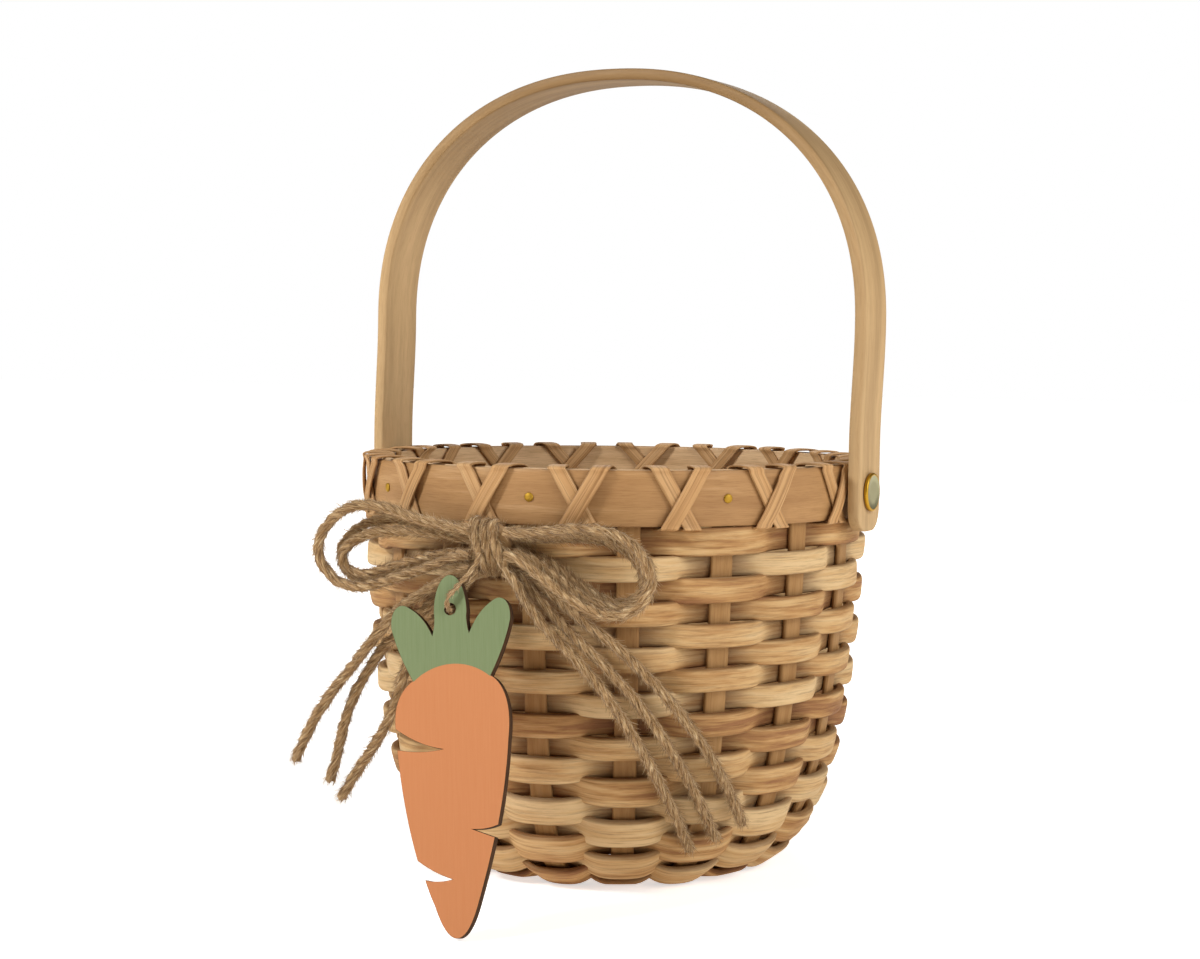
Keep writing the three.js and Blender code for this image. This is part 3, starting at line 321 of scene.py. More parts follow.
def twine_tree():
    """Laid twine: plies wound round a path, with loose fibres standing out of them."""
    tree, given = new_tree("laid_twine", [
        ("Diameter", "NodeSocketFloat"), ("Plies", "NodeSocketInt"), ("Lay", "NodeSocketFloat"),
        ("Fibre Length", "NodeSocketFloat"), ("Fibre Density", "NodeSocketFloat"),
        ("Seed", "NodeSocketInt"), ("Material", "NodeSocketMaterial")])
    line = add(tree, "GeometryNodeMeshToCurve", {"Mesh": given["Path"]})
    # Ten steps in each turn of the plies
    step = add(tree, "ShaderNodeMath", {0: given["Lay"], 1: 10.0}, operation="DIVIDE")
    spaced = add(tree, "GeometryNodeResampleCurve", {"Curve": line, "Length": step}, mode="LENGTH")
    copies = add(tree, "GeometryNodeDuplicateElements", {
        "Geometry": spaced, "Amount": given["Plies"]}, domain="SPLINE")
    run = add(tree, "GeometryNodeSplineParameter").outputs["Length"]
    turns = add(tree, "ShaderNodeMath", {0: run, 1: given["Lay"]}, operation="DIVIDE")
    share = add(tree, "ShaderNodeMath", {
        0: copies.outputs["Duplicate Index"], 1: given["Plies"]}, operation="DIVIDE")
    # The twist wanders by up to a third of a turn, as hand laid twine does
    wander = add(tree, "ShaderNodeTexNoise", {"Scale": 70.0, "Detail": 1.0})
    strayed = add(tree, "ShaderNodeMath", {0: wander, 1: 0.9, 2: turns}, operation="MULTIPLY_ADD")
    phase = add(tree, "ShaderNodeMath", {0: strayed, 1: share}, operation="ADD")
    angle = add(tree, "ShaderNodeMath", {0: phase, 1: math.tau}, operation="MULTIPLY")
    normal = add(tree, "GeometryNodeInputNormal")
    tangent = add(tree, "GeometryNodeInputTangent")
    side = add(tree, "ShaderNodeVectorMath", {0: tangent, 1: normal}, operation="CROSS_PRODUCT")
    cosine = add(tree, "ShaderNodeMath", {0: angle}, operation="COSINE")
    sine = add(tree, "ShaderNodeMath", {0: angle}, operation="SINE")
    first = add(tree, "ShaderNodeVectorMath", {0: normal, "Scale": cosine}, operation="SCALE")
    second = add(tree, "ShaderNodeVectorMath", {0: side, "Scale": sine}, operation="SCALE")
    away = add(tree, "ShaderNodeVectorMath", {0: first, 1: second})
    # A ply's middle lies 0.21 of the diameter out, and its own radius is 0.28 of it
    reach = add(tree, "ShaderNodeMath", {0: given["Diameter"], 1: 0.21}, operation="MULTIPLY")
    offset = add(tree, "ShaderNodeVectorMath", {0: away, "Scale": reach}, operation="SCALE")
    wound = add(tree, "GeometryNodeSetPosition", {"Geometry": copies, "Offset": offset})
    own = add(tree, "ShaderNodeCombineXYZ", {"X": run, "Y": share})
    marked = wound
    for label, value in (("along", own), ("heading", tangent)):
        marked = add(tree, "GeometryNodeStoreNamedAttribute", {
            "Geometry": marked, "Name": label, "Value": value}, **POINT_VECTORS)
    ply = add(tree, "ShaderNodeMath", {0: given["Diameter"], 1: 0.28}, operation="MULTIPLY")
    circle = add(tree, "GeometryNodeCurvePrimitiveCircle", {"Resolution": 8, "Radius": ply})
    ring = add(tree, "GeometryNodeStoreNamedAttribute", {
        "Geometry": circle, "Name": "round",
        "Value": add(tree, "GeometryNodeInputPosition")}, **POINT_VECTORS)
    tube = add(tree, "GeometryNodeCurveToMesh", {"Curve": marked, "Profile Curve": ring, "Fill Caps": True})
    # Uneven spinning: each ply swells and thins by up to a third of its radius
    slub = add(tree, "ShaderNodeTexNoise", {"Scale": 420.0, "Detail": 3.0})
    swell = add(tree, "ShaderNodeMapRange", {
        "Value": slub, "From Min": 0.25, "From Max": 0.75, "To Min": -0.1, "To Max": 0.1})
    growth = add(tree, "ShaderNodeMath", {0: swell, 1: given["Diameter"]}, operation="MULTIPLY")
    bulge = add(tree, "ShaderNodeVectorMath", {0: normal, "Scale": growth}, operation="SCALE")
    spun = add(tree, "GeometryNodeSetPosition", {"Geometry": tube, "Offset": bulge})
    along = add(tree, "GeometryNodeInputNamedAttribute", {"Name": "along"}, data_type="FLOAT_VECTOR")
    about = add(tree, "GeometryNodeInputNamedAttribute", {"Name": "round"}, data_type="FLOAT_VECTOR")
    lay = add(tree, "ShaderNodeVectorMath", {0: along, 1: about})
    body = add(tree, "GeometryNodeStoreNamedAttribute", {
        "Geometry": spun, "Name": "lay", "Value": lay}, **POINT_VECTORS)
    roots = add(tree, "GeometryNodeDistributePointsOnFaces", {
        "Mesh": body, "Density": given["Fibre Density"], "Seed": given["Seed"]})
    scatter = add(tree, "FunctionNodeRandomValue", {
        0: (-0.3, -0.3, -0.3), 1: (0.3, 0.3, 0.3), "Seed": given["Seed"]}, data_type="FLOAT_VECTOR")
    heading = add(tree, "GeometryNodeInputNamedAttribute", {"Name": "heading"}, data_type="FLOAT_VECTOR")
    swept = add(tree, "ShaderNodeVectorMath", {0: heading, 1: scatter}, operation="ADD")
    # Short fibres lie along the strand and long ones stand well out of it
    draw = add(tree, "FunctionNodeRandomValue", {2: 0.35, 3: 1.0, "Seed": given["Seed"]}, data_type="FLOAT")
    rise = add(tree, "ShaderNodeMath", {0: draw, 1: 2.2}, operation="POWER")
    lifted = add(tree, "ShaderNodeVectorMath", {
        0: roots.outputs["Normal"], "Scale": rise}, operation="SCALE")
    lean = add(tree, "ShaderNodeVectorMath", {0: swept, 1: lifted})
    aim = add(tree, "FunctionNodeAlignRotationToVector", {"Vector": lean}, axis="Z")
    fibre = add(tree, "GeometryNodeMeshCone", {
        "Vertices": 3, "Side Segments": 1, "Radius Top": FIBRE_TIP * MM, "Radius Bottom": FIBRE_ROOT * MM,
        "Depth": given["Fibre Length"]}, fill_type="NONE")
    size = add(tree, "ShaderNodeCombineXYZ", {"X": 1.0, "Y": 1.0, "Z": draw})
    fuzz = add(tree, "GeometryNodeInstanceOnPoints", {
        "Points": roots, "Instance": fibre, "Rotation": aim, "Scale": size})
    shades = add(tree, "FunctionNodeRandomValue", {
        0: (0.0, 0.0, 0.0), 1: (1.0, 1.0, 1.0), "Seed": given["Seed"]}, data_type="FLOAT_VECTOR")
    fuzz = add(tree, "GeometryNodeStoreNamedAttribute", {
        "Geometry": fuzz, "Name": "lay", "Value": shades}, data_type="FLOAT_VECTOR", domain="INSTANCE")
    both = add(tree, "GeometryNodeJoinGeometry", {"Geometry": fuzz})
    tree.links.new(body.outputs["Geometry"], both.inputs["Geometry"])
    end_tree(tree, both, given["Material"])
    return tree


def nail_tree():
    """A low round head on each point, facing along the point's out direction."""
    tree, given = new_tree("round_heads", [
        ("Radius", "NodeSocketFloat"), ("Height", "NodeSocketFloat"), ("Material", "NodeSocketMaterial")])
    ball = add(tree, "GeometryNodeMeshUVSphere", {"Segments": 24, "Rings": 12, "Radius": 1.0})
    out = add(tree, "GeometryNodeInputNamedAttribute", {"Name": "out"}, data_type="FLOAT_VECTOR")
    aim = add(tree, "FunctionNodeAlignRotationToVector", {"Vector": out}, axis="Z")
    size = add(tree, "ShaderNodeCombineXYZ", {
        "X": given["Radius"], "Y": given["Radius"], "Z": given["Height"]})
    heads = add(tree, "GeometryNodeInstanceOnPoints", {
        "Points": given["Path"], "Instance": ball, "Rotation": aim, "Scale": size})
    end_tree(tree, heads, given["Material"])
    return tree


bent_strip = strip_tree()
laid_twine = twine_tree()
round_heads = nail_tree()


def show(name, mesh):
    piece = bpy.data.objects.new(name, mesh)
    bpy.context.scene.collection.objects.link(piece)
    return piece


def path_mesh(points, attributes):
    """A bare line through points, with vectors stored on them."""
    mesh = bpy.data.meshes.new("path")
    edges = [(i, i + 1) for i in range(len(points) - 1)]
    mesh.from_pydata([tuple(p) for p in np.asarray(points) * MM], edges, [])
    for label, values in attributes.items():
        mesh.attributes.new(label, "FLOAT_VECTOR", "POINT").data.foreach_set(
            "vector", np.asarray(values, np.float32).ravel())
    return mesh


def face_outwards(mesh, merge=0.0):
    """Turns all faces out, after points closer than a distance in metres are merged."""
    shape = bmesh.new()
    shape.from_mesh(mesh)
    if merge:
        bmesh.ops.remove_doubles(shape, verts=shape.verts, dist=merge)
    bmesh.ops.recalc_face_normals(shape, faces=shape.faces)
    shape.to_mesh(mesh)
    shape.free()


def grow(name, path, tree, **settings):
    """Runs a tree on a path and keeps the result as a plain mesh at the origin."""
    piece = show(name, path)
    modifier = piece.modifiers.new("shape", "NODES")
    modifier.node_group = tree
    for item in tree.interface.items_tree:
        label = item.name.lower().replace(" ", "_")
        if item.in_out == "INPUT" and label in settings:
            modifier[item.identifier] = settings[label]
    graph = bpy.context.evaluated_depsgraph_get()
    mesh = bpy.data.meshes.new_from_object(piece.evaluated_get(graph), depsgraph=graph)
    piece.modifiers.remove(modifier)
    piece.data = mesh
    bpy.data.meshes.remove(path)
    face_outwards(mesh)
    mesh.name = name
    return piece


def seat(piece, body, slot, *nodes):
    """Fixes a piece to its body and hides the CAD nodes it stands for; its slot is not used."""
    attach(piece, body)
    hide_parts(*nodes)
    return piece


# Geometry shared by the strips

def around(degrees, radius, z):
    angle = np.radians(degrees)
    return np.stack(np.broadcast_arrays(radius * np.cos(angle), radius * np.sin(angle), z), axis=-1)


def unit(vectors):
    return vectors / np.linalg.norm(vectors, axis=-1, keepdims=True)


def running_length(points):
    return np.concatenate([[0], np.cumsum(np.linalg.norm(np.diff(points, axis=0), axis=1))])


def stake_degrees(stake):
    return STAKE_PHASE + stake * STAKE_ANGLE


def section_points():
    """The half section that the stakes follow, with its running length."""
    t = np.linspace(0, 1, 801)[:, None]
    corner = [np.array(p) for p in (
        (BASE_RADIUS, BASE_Z), (BASE_RADIUS + CORNER_REACH, BASE_Z),
        (RIM_RADIUS - WALL_LEAN, HOOP_BOTTOM - WALL_DROP), (RIM_RADIUS, HOOP_BOTTOM))]
    bend = ((1 - t) ** 3 * corner[0] + 3 * (1 - t) ** 2 * t * corner[1]
            + 3 * (1 - t) * t ** 2 * corner[2] + t ** 3 * corner[3])
    points = np.vstack([(0, BASE_Z), bend, (RIM_RADIUS, RIM_TOP - STAKE_INSET)])
    return points, running_length(points)


SECTION, SECTION_RUN = section_points()
SECTION_LENGTH = SECTION_RUN[-1]
WALL_END = SECTION_LENGTH - (HOOP_HEIGHT - STAKE_INSET)


def on_section(run):
    """Point, tangent and outward normal of the section at running lengths."""
    def at(value):
        return np.stack([np.interp(value, SECTION_RUN, SECTION[:, k]) for k in (0, 1)], axis=-1)
    run = np.asarray(run, float)
    near = 0.4
    ahead, behind = at(np.minimum(run + near, SECTION_LENGTH)), at(np.maximum(run - near, 0))
    tangent = unit(ahead - behind)
    return at(run), tangent, np.stack([tangent[..., 1], -tangent[..., 0]], axis=-1)


GRAIN_APART = 3100  # the tint also moves each strip to its own part of the grain


def strip_piece(name, points, across, out, wide, thick, shade, material, around_points=12, power=0.5,
                loop=False):
    """A strip along stations, closed at its ends or joined into a loop."""
    count = len(points)
    wide, thick = (np.broadcast_to(v, count) for v in (wide, thick))
    across, out, shade = (np.broadcast_to(v, (count, 3)) for v in (across, out, shade))
    runs = running_length(points)
    half = np.stack([wide / 2, thick / 2, runs + GRAIN_APART * shade[0, 0]], axis=1)
    order = np.arange(count)
    order = np.append(order, 0) if loop else np.concatenate([[0], order, [count - 1]])
    half = half[order] * MM
    if not loop:
        half[[0, -1], :2] = 0
    path = path_mesh(points[order], {
        "across": across[order], "out": out[order], "half": half, "shade": shade[order]})
    return grow(name, path, bent_strip, points_around=around_points, edge_power=power, material=material)


# Stakes

def stake_line(stake):
    """Points, outward normals and widths up one stake, from the fan in the base to the rim."""
    runs = np.concatenate([np.linspace(FAN_RADIUS, BASE_RADIUS, 8)[:-1],
                           np.linspace(BASE_RADIUS, WALL_END, 60), [SECTION_LENGTH - 4, SECTION_LENGTH]])
    point, tangent, normal = on_section(runs)
    degrees = stake_degrees(stake)
    grown = np.clip((runs - FAN_RADIUS) / (BASE_RADIUS - FAN_RADIUS), 0, 1)
    return (around(degrees, point[:, 0], point[:, 1]), around(degrees, normal[:, 0], normal[:, 1]),
            SPOKE_WIDTH + (STAKE_WIDTH - SPOKE_WIDTH) * grown)


def splint_stations(along, lane, ends):
    """Up one stake, down through the crossing and up the other."""
    first, second = stake_line(ends[0]), stake_line(ends[1])
    reach = 2 * SPOKE_LANE + CLEARANCE
    layer = 0 if along == "x" else STAKE_THICK + CLEARANCE
    spread = np.linspace(reach, -reach, 9)
    flat = np.full_like(spread, lane * SPOKE_LANE)
    height = np.full_like(spread, BASE_Z + layer)
    middle = np.stack([spread, flat, height] if along == "x" else [flat, spread, height], axis=1)
    down = np.tile((0.0, 0.0, -1.0), (len(middle), 1))
    points = np.vstack([first[0][::-1], middle, second[0]])
    normals = np.vstack([first[1][::-1], down, second[1]])
    widths = np.concatenate([first[2][::-1], np.full(len(middle), SPOKE_WIDTH), second[2]])
    return points, normals, widths


def flat_strip(name, points, normals, widths, thick, tint, material):
    along = unit(np.gradient(points, axis=0))
    across = unit(np.cross(along, normals))
    return strip_piece(name, points, across, np.cross(across, along), widths, thick, (tint, 0, 0),
                       material, around_points=14, power=0.35)


SPLINTS = [("x", 1.5, (1, 7)), ("x", 0.5, (0, 8)), ("x", -0.5, (16, 9)), ("x", -1.5, (15, 10)),
           ("y", 1.5, (2, 14)), ("y", 0.5, (3, 13)), ("y", -0.5, (5, 12)), ("y", -1.5, (6, 11))]
SHORT_STAKE = 4
STAKE_TINTS = (0.3, 0.7, 0.45, 0.9, 0.2, 0.6, 0.8, 0.4)
for number, (splint, tint) in enumerate(zip(SPLINTS, STAKE_TINTS), start=1):
    points, normals, widths = splint_stations(*splint)
    piece = flat_strip(f"willow_splint_{number}", points, normals, widths, STAKE_THICK, tint, stake_willow)
    seat(piece, "basket", "stake_wood", f"splint_{number}")
points, normals, widths = stake_line(SHORT_STAKE)
piece = flat_strip("willow_splint_short", points, normals, widths, STAKE_THICK, 0.5, stake_willow)
seat(piece, "basket", "stake_wood", "splint_short")

# Weavers: one spiral, counted in stakes passed
WEAVE_TOP = WALL_END - LASH_THICK - 3 * CLEARANCE
WEAVE_START = FAN_RADIUS + WEAVER_HEIGHT / 2 + CLEARANCE
WEAVE_ROUNDS = math.floor(
    (WEAVE_TOP - WEAVER_HEIGHT / 2 - WEAVE_START) / ROW_PITCH - LEVEL_STAKE / STAKE_COUNT)
LEVEL_INDEX = WEAVE_ROUNDS * STAKE_COUNT + LEVEL_STAKE
STEPS_PER_STAKE = 12
SOFT_THICK, SOFT_OFFSET = 2.8, 2.35  # on the wall the strips swell a little over their plain size
SWELL = 1.22  # height of a pressed strip against its plain height
UNEVEN_HEIGHT, UNEVEN_LEVEL, UNEVEN_TWIST = 0.06, 0.28, 7.0  # share, millimetres and degrees either way
SOFT_RUNS = (BASE_RADIUS + 4, BASE_RADIUS + 22)  # from the flat base to the full swell
# Rows at the foot of the wall are taller
FOOT_RUNS, FOOT_SWELL = BASE_RADIUS + np.array((-6, 3, 25, 55)), (1, 1.62, 1.38, 1)
LAST_HEIGHT, LAST_SWELL = 7.6, 1.06  # the round under the hoops
PULL = 1.5  # how firmly the weaver hugs each stake before it dives
# Painted shade of the dive behind a stake, kept close to the stake by this power
SINK_POWER = 5  # keeps the dark of the dive close to the stake
WEAVER_TINTS = (0.55, 0.2, 0.75, 0.4, 0.95, 0.3, 0.65, 0.1, 0.85, 0.5, 0.7, 0.25, 0.9, 0.35)


def is_outside(stake):
    return (stake + WEAVE_ROUNDS) % 2 != 0


def row_run(index):
    return WEAVE_TOP - WEAVER_HEIGHT / 2 - ROW_PITCH * (LEVEL_INDEX - index) / STAKE_COUNT


def weaver_lengths():
    """First and last stake of each length of the weaver, where its ends hide behind a stake."""
    thinned = STAKE_COUNT * (WEAVER_HEIGHT - WEAVER_TIP) / ROW_PITCH
    first = 1 if is_outside(0) else 0
    end = math.floor(LEVEL_INDEX + thinned)
    while row_run(first) < WEAVE_START:
        first += 2
    if is_outside(end):
        end -= 1
    marks = [*range(first, end, WEAVER_SPAN), end]
    return list(zip(marks, marks[1:]))


def uneven(draws, index):
    """A smooth change along a strip from one draw to the next at each stake passed."""
    passed = np.floor(index - index[0]).astype(int)
    share = index - index[0] - passed
    ease = share * share * (3 - 2 * share)
    return draws[passed] * (1 - ease) + draws[passed + 1] * ease


def weaver_piece(number, first, last):
    index = np.linspace(first + 0.01, last - 0.01, (last - first) * STEPS_PER_STAKE + 1)
    swing = np.cos(np.pi * (index + WEAVE_ROUNDS + 1))
    on_wall = np.interp(row_run(index), SOFT_RUNS, (0, 1))
    thick = WEAVER_THICK + (SOFT_THICK - WEAVER_THICK) * on_wall
    side = np.tanh(PULL * swing) / math.tanh(PULL)
    offset = (WEAVE_OFFSET + (SOFT_OFFSET - WEAVE_OFFSET) * on_wall) * side
    bottom = row_run(index) - WEAVER_HEIGHT / 2
    top = np.minimum(row_run(index) + WEAVER_HEIGHT / 2, WEAVE_TOP)
    # The last round closes up under the hoops
    uncovered = index > WEAVE_END - STAKE_COUNT
    top = np.where(uncovered, np.clip(bottom + LAST_HEIGHT, top, WALL_END), top)
    draws = np.random.default_rng(number).uniform(-1, 1, (3, last - first + 2))
    taller, higher, twisted = (uneven(row, index) * np.where(uncovered, 0, on_wall) for row in draws)
    swell = SWELL * np.interp(row_run(index), FOOT_RUNS, FOOT_SWELL) * (1 + UNEVEN_HEIGHT * taller)
    height = (top - bottom) * np.where(uncovered, LAST_SWELL, swell)
    point, tangent, normal = on_section((top + bottom) / 2 + UNEVEN_LEVEL * higher)
    degrees = stake_degrees(index)
    flat = point + normal * offset[:, None]
    turn = np.radians(UNEVEN_TWIST * twisted)[:, None]
    tangent, normal = (tangent * np.cos(turn) + normal * np.sin(turn),
                       normal * np.cos(turn) - tangent * np.sin(turn))
    # Rows at the foot of the wall are lifted by what their rounded section would reach under the table
    beside, through = np.abs(tangent[:, 1]) * height / 2, np.abs(normal[:, 1]) * thick / 2
    lowest = flat[:, 1] - (beside ** (4 / 3) + through ** (4 / 3)) ** 0.75
    flat[:, 1] -= np.minimum(lowest, 0)
    # Painted shade where the strip dives behind a stake
    sunk = ((1 - side) / 2) ** SINK_POWER
    shade = np.stack([np.full(len(index), WEAVER_TINTS[number - 1]), sunk, np.zeros(len(index))], axis=1)
    return strip_piece(
        f"willow_weaver_{number:02d}", around(degrees, flat[:, 0], flat[:, 1]),
        around(degrees, tangent[:, 0], tangent[:, 1]), around(degrees, normal[:, 0], normal[:, 1]),
        height, thick, shade, split_willow, around_points=16, power=0.5)


WEAVER_LENGTHS = weaver_lengths()
WEAVE_END = WEAVER_LENGTHS[-1][1]
for number, (first, last) in enumerate(WEAVER_LENGTHS, start=1):
    seat(weaver_piece(number, first, last), "basket", "weaver_wood", f"weaver_{number:02d}")


# Rim hoops, with scarfed laps at the back

def hoop_piece(name, inside, tint):
    mark = np.arange(0, 360 + HOOP_LAP - CLEARANCE, 1.5)
    lap = (HOOP_THICK - 2 * HOOP_FEATHER - CLEARANCE) / HOOP_LAP
    inner = np.where(mark >= 360, inside + HOOP_FEATHER + CLEARANCE + lap * (mark - 360), inside)
    outer = np.where(mark < HOOP_LAP, inside + HOOP_FEATHER + lap * mark, inside + HOOP_THICK)
    degrees = HOOP_SEAM + mark
    return strip_piece(
        name, around(degrees, (inner + outer) / 2, PIVOT_Z), (0, 0, 1), around(degrees, 1.0, 0.0),
        HOOP_HEIGHT, outer - inner, (tint, 0, 0), bent_ash, around_points=20, power=0.25)


# Painted light: the inner hoop, which lies in shade inside the basket, takes the palest tint
seat(hoop_piece("ash_hoop_outer", OUTER_HOOP_IN, 0.4), "basket", "hoop_wood", "outer_rim_hoop")
seat(hoop_piece("ash_hoop_inner", INNER_HOOP_IN, 1.0), "basket", "hoop_wood", "inner_rim_hoop")


# Crossed lashing

def smooth_line(values, per_span, loop):
    """A rounded line through stations, by uniform cubic spans."""
    values = np.asarray(values, float)
    before, after = np.roll(values, 1, axis=0), np.roll(values, -1, axis=0)
    if not loop:
        before[0], after[-1] = values[0], values[-1]
    slope = (after - before) / 2
    t = np.linspace(0, 1, per_span, endpoint=False)[None, :, None]
    follow, follow_slope = np.roll(values, -1, axis=0), np.roll(slope, -1, axis=0)
    spans = ((2 * t ** 3 - 3 * t ** 2 + 1) * values[:, None] + (t ** 3 - 2 * t ** 2 + t) * slope[:, None]
             + (3 * t ** 2 - 2 * t ** 3) * follow[:, None] + (t ** 3 - t ** 2) * follow_slope[:, None])
    if not loop:
        return np.vstack([spans[:-1].reshape(-1, values.shape[1]), values[-1:]])
    return spans.reshape(-1, values.shape[1])


def lashing_piece(name, hand, tint):
    bottom, top = HOOP_BOTTOM - LASH_SEAT, RIM_TOP + LASH_SEAT
    outside, inside = OUTER_HOOP_OUT + LASH_SEAT, INNER_HOOP_IN - LASH_SEAT
    lift = LASH_LIFT if hand > 0 else 0
    far = STAKE_ANGLE - LASH_CLOSE - LASH_DRIFT
    beside = math.degrees((RIVET_SHANK_RADIUS + 2 * CLEARANCE + LASH_WIDTH / 2) / outside)
    # Shares of the way up or down, with how far the upper cane rides on the lower one there
    ride_out = ((0.08, 0.7), (0.3, 1.1), (0.62, 0.95), (0.88, 0.45))
    ride_in = ((0.12, 0.8), (0.35, 1.1), (0.65, 1.1), (0.88, 0.8))
    stations = []
    for turn in range(STAKE_COUNT):
        middle = stake_degrees(turn + 0.5 if hand > 0 else STAKE_COUNT - turn - 0.5)
        crosses = abs(middle - 180) > STAKE_ANGLE / 2
        upright = hand * (180 - middle) - beside
        start, end = (-LASH_CLOSE, LASH_SPREAD) if crosses else (upright, upright)
        inner = end + LASH_DRIFT
        # Degrees from the middle, radius, share of the way up, and where the cane's face looks: out and up
        rows = [
            (start, outside, 0, 0.7, -0.7),
            *[(start + (end - start) * share, outside + lift * raised, share, 1, 0)
              for share, raised in ride_out],
            (end, outside, 1, 0.7, 0.7),
            (inner, inside if crosses else inside - lift, 1, -0.7, 0.7),
            *[(inner + (far - inner) * share, inside - lift * raised, 1 - share, -1, 0)
              for share, raised in ride_in],
            (far, inside, 0, -0.7, -0.7)]
        stations += [(middle + hand * shift, radius, bottom + (top - bottom) * share, out, up)
                     for shift, radius, share, out, up in rows]
    stations = np.array(stations)
    unwound = np.degrees(np.unwrap(np.radians(stations[:, 0])))
    points = around(unwound, stations[:, 1], stations[:, 2])
    faces = around(unwound, stations[:, 3], stations[:, 4])
    sides = around(unwound + 90, 1.0, 0.0) * hand
    line = smooth_line(np.hstack([points, faces, sides]), 6, True)
    return strip_piece(
        name, line[:, :3], unit(line[:, 6:9]), unit(line[:, 3:6]), LASH_WIDTH, LASH_THICK, (tint, 0, 0),
        flat_cane, around_points=12, power=0.4, loop=True)


seat(lashing_piece("cane_lashing_right", 1, 0.4), "basket", "cane", "lashing_right")
seat(lashing_piece("cane_lashing_left", -1, 0.7), "basket", "cane", "lashing_left")


# Bent handle with round ends
# Painted shade over the arch, and painted light on the left leg: its seen inner face lies in shade, so it
# is paler than the right one
LEG_TINT, LEG_LIGHT_DIFFERENCE, ARCH_SHADE_TINT = 0.75, 0.1, 0.12  # the left leg is paler than the right one


def handle_piece():
    middle = (HANDLE_IN + HANDLE_OUT) / 2
    bend = HANDLE_TOP - HANDLE_THICK / 2 - HANDLE_ARCH
    foot, power = PIVOT_Z - HANDLE_FOOT, 2 / HANDLE_FULLNESS
    turn = np.linspace(0, math.pi / 2, 14)
    low = np.concatenate([foot + HANDLE_CORNER * (1 - np.cos(turn)), [PIVOT_Z + HANDLE_UPRIGHT]])
    rise = np.linspace(0, 1, 12)[1:-1]
    lean = HANDLE_SKEW * rise * rise * (3 - 2 * rise)
    leg = low[-1] + (bend - low[-1]) * rise
    sweep = np.linspace(0, math.pi, 121)
    reach = np.sign(np.cos(sweep)) * np.abs(np.cos(sweep)) ** power
    heights = np.concatenate([low, leg])
    right = np.concatenate([np.full_like(low, middle), middle + lean])
    left = np.concatenate([np.full_like(low, -middle), lean - middle])
    x = np.concatenate([right, HANDLE_SKEW + middle * reach, left[::-1]])
    z = np.concatenate([heights, bend + HANDLE_ARCH * np.sin(sweep) ** power, heights[::-1]])
    points = np.stack([x, np.zeros_like(x), z], axis=1)
    along = unit(np.gradient(points, axis=0))
    out = np.stack([along[:, 2], np.zeros_like(x), -along[:, 0]], axis=1)
    drop = np.clip(foot + HANDLE_CORNER - z, 0, HANDLE_CORNER)
    width = HANDLE_WIDTH - 2 * HANDLE_CORNER + 2 * np.sqrt(np.maximum(HANDLE_CORNER ** 2 - drop ** 2, 0.01))
    # Painted shade: the tint falls to the arch's darker tint towards the top
    arch_shade = np.clip((z - bend) / HANDLE_ARCH, 0, 1) ** 2
    legs = LEG_TINT - LEG_LIGHT_DIFFERENCE * x / middle
    tint = np.outer(legs * (1 - arch_shade) + ARCH_SHADE_TINT * arch_shade, (1, 0, 0))
    return strip_piece("beech_handle", points, (0, 1, 0), out, width, HANDLE_THICK, tint, sanded_beech,
                       around_points=24, power=0.18)


seat(handle_piece(), "handle", "handle_wood", "handle")


# Rivets and nails

def turned(name, profile, materials, sides=48):
    """A solid turned about X from (radius, place, material) rows."""
    shape = bmesh.new()
    rings = []
    for radius, place, _ in profile:
        angles = np.linspace(0, 2 * np.pi, sides, endpoint=False) if radius else [0.0]
        rings.append([shape.verts.new((place * MM, radius * math.cos(a) * MM, radius * math.sin(a) * MM))
                      for a in angles])
    for (low, high), (_, _, index) in zip(zip(rings, rings[1:]), profile[1:]):
        for i in range(sides):
            j = (i + 1) % sides
            corners = [low[i % len(low)], low[j % len(low)], high[j % len(high)], high[i % len(high)]]
            face = shape.faces.new(list(dict.fromkeys(corners)))
            face.smooth = True
            face.material_index = index
    bmesh.ops.recalc_face_normals(shape, faces=shape.faces)
    mesh = bpy.data.meshes.new(name)
    shape.to_mesh(mesh)
    shape.free()
    for material in materials:
        mesh.materials.append(material)
    return show(name, mesh)


def rivet_piece(side, name):
    seat_at = HANDLE_OUT + CLEARANCE / 2
    top = seat_at + RIVET_HEAD_THICK
    wide, shank, broad, edge = RIVET_HEAD_RADIUS, RIVET_SHANK_RADIUS, RIVET_TAIL_RADIUS, RIVET_EDGE
    tail = INNER_HOOP_IN + CLEARANCE / 2
    # Radius, place along the axis, and 1 for the sunk face in place of the rim
    profile = [(0, tail, 0), (broad - 0.4, tail, 0), (broad, tail + edge, 0), (broad, tail + 2 * edge, 0),
               (shank, tail + RIVET_TAIL_THICK, 0), (shank, seat_at, 0), (wide - edge, seat_at, 0),
               (wide, seat_at + edge, 0), (wide, top - 0.35, 0), (wide - 0.12, top - 0.1, 0),
               (wide - 0.4, top, 0), (wide - 0.7, top, 0),
               (wide - 0.85, top - 0.12, 1), (wide * 0.5, top - 0.1, 1), (0, top - 0.08, 1)]
    piece = turned(name, [(r, x * side, m) for r, x, m in profile], [brass, dull_brass])
    piece.data.transform(Matrix.Translation((0, 0, PIVOT_Z * MM)))
    return piece


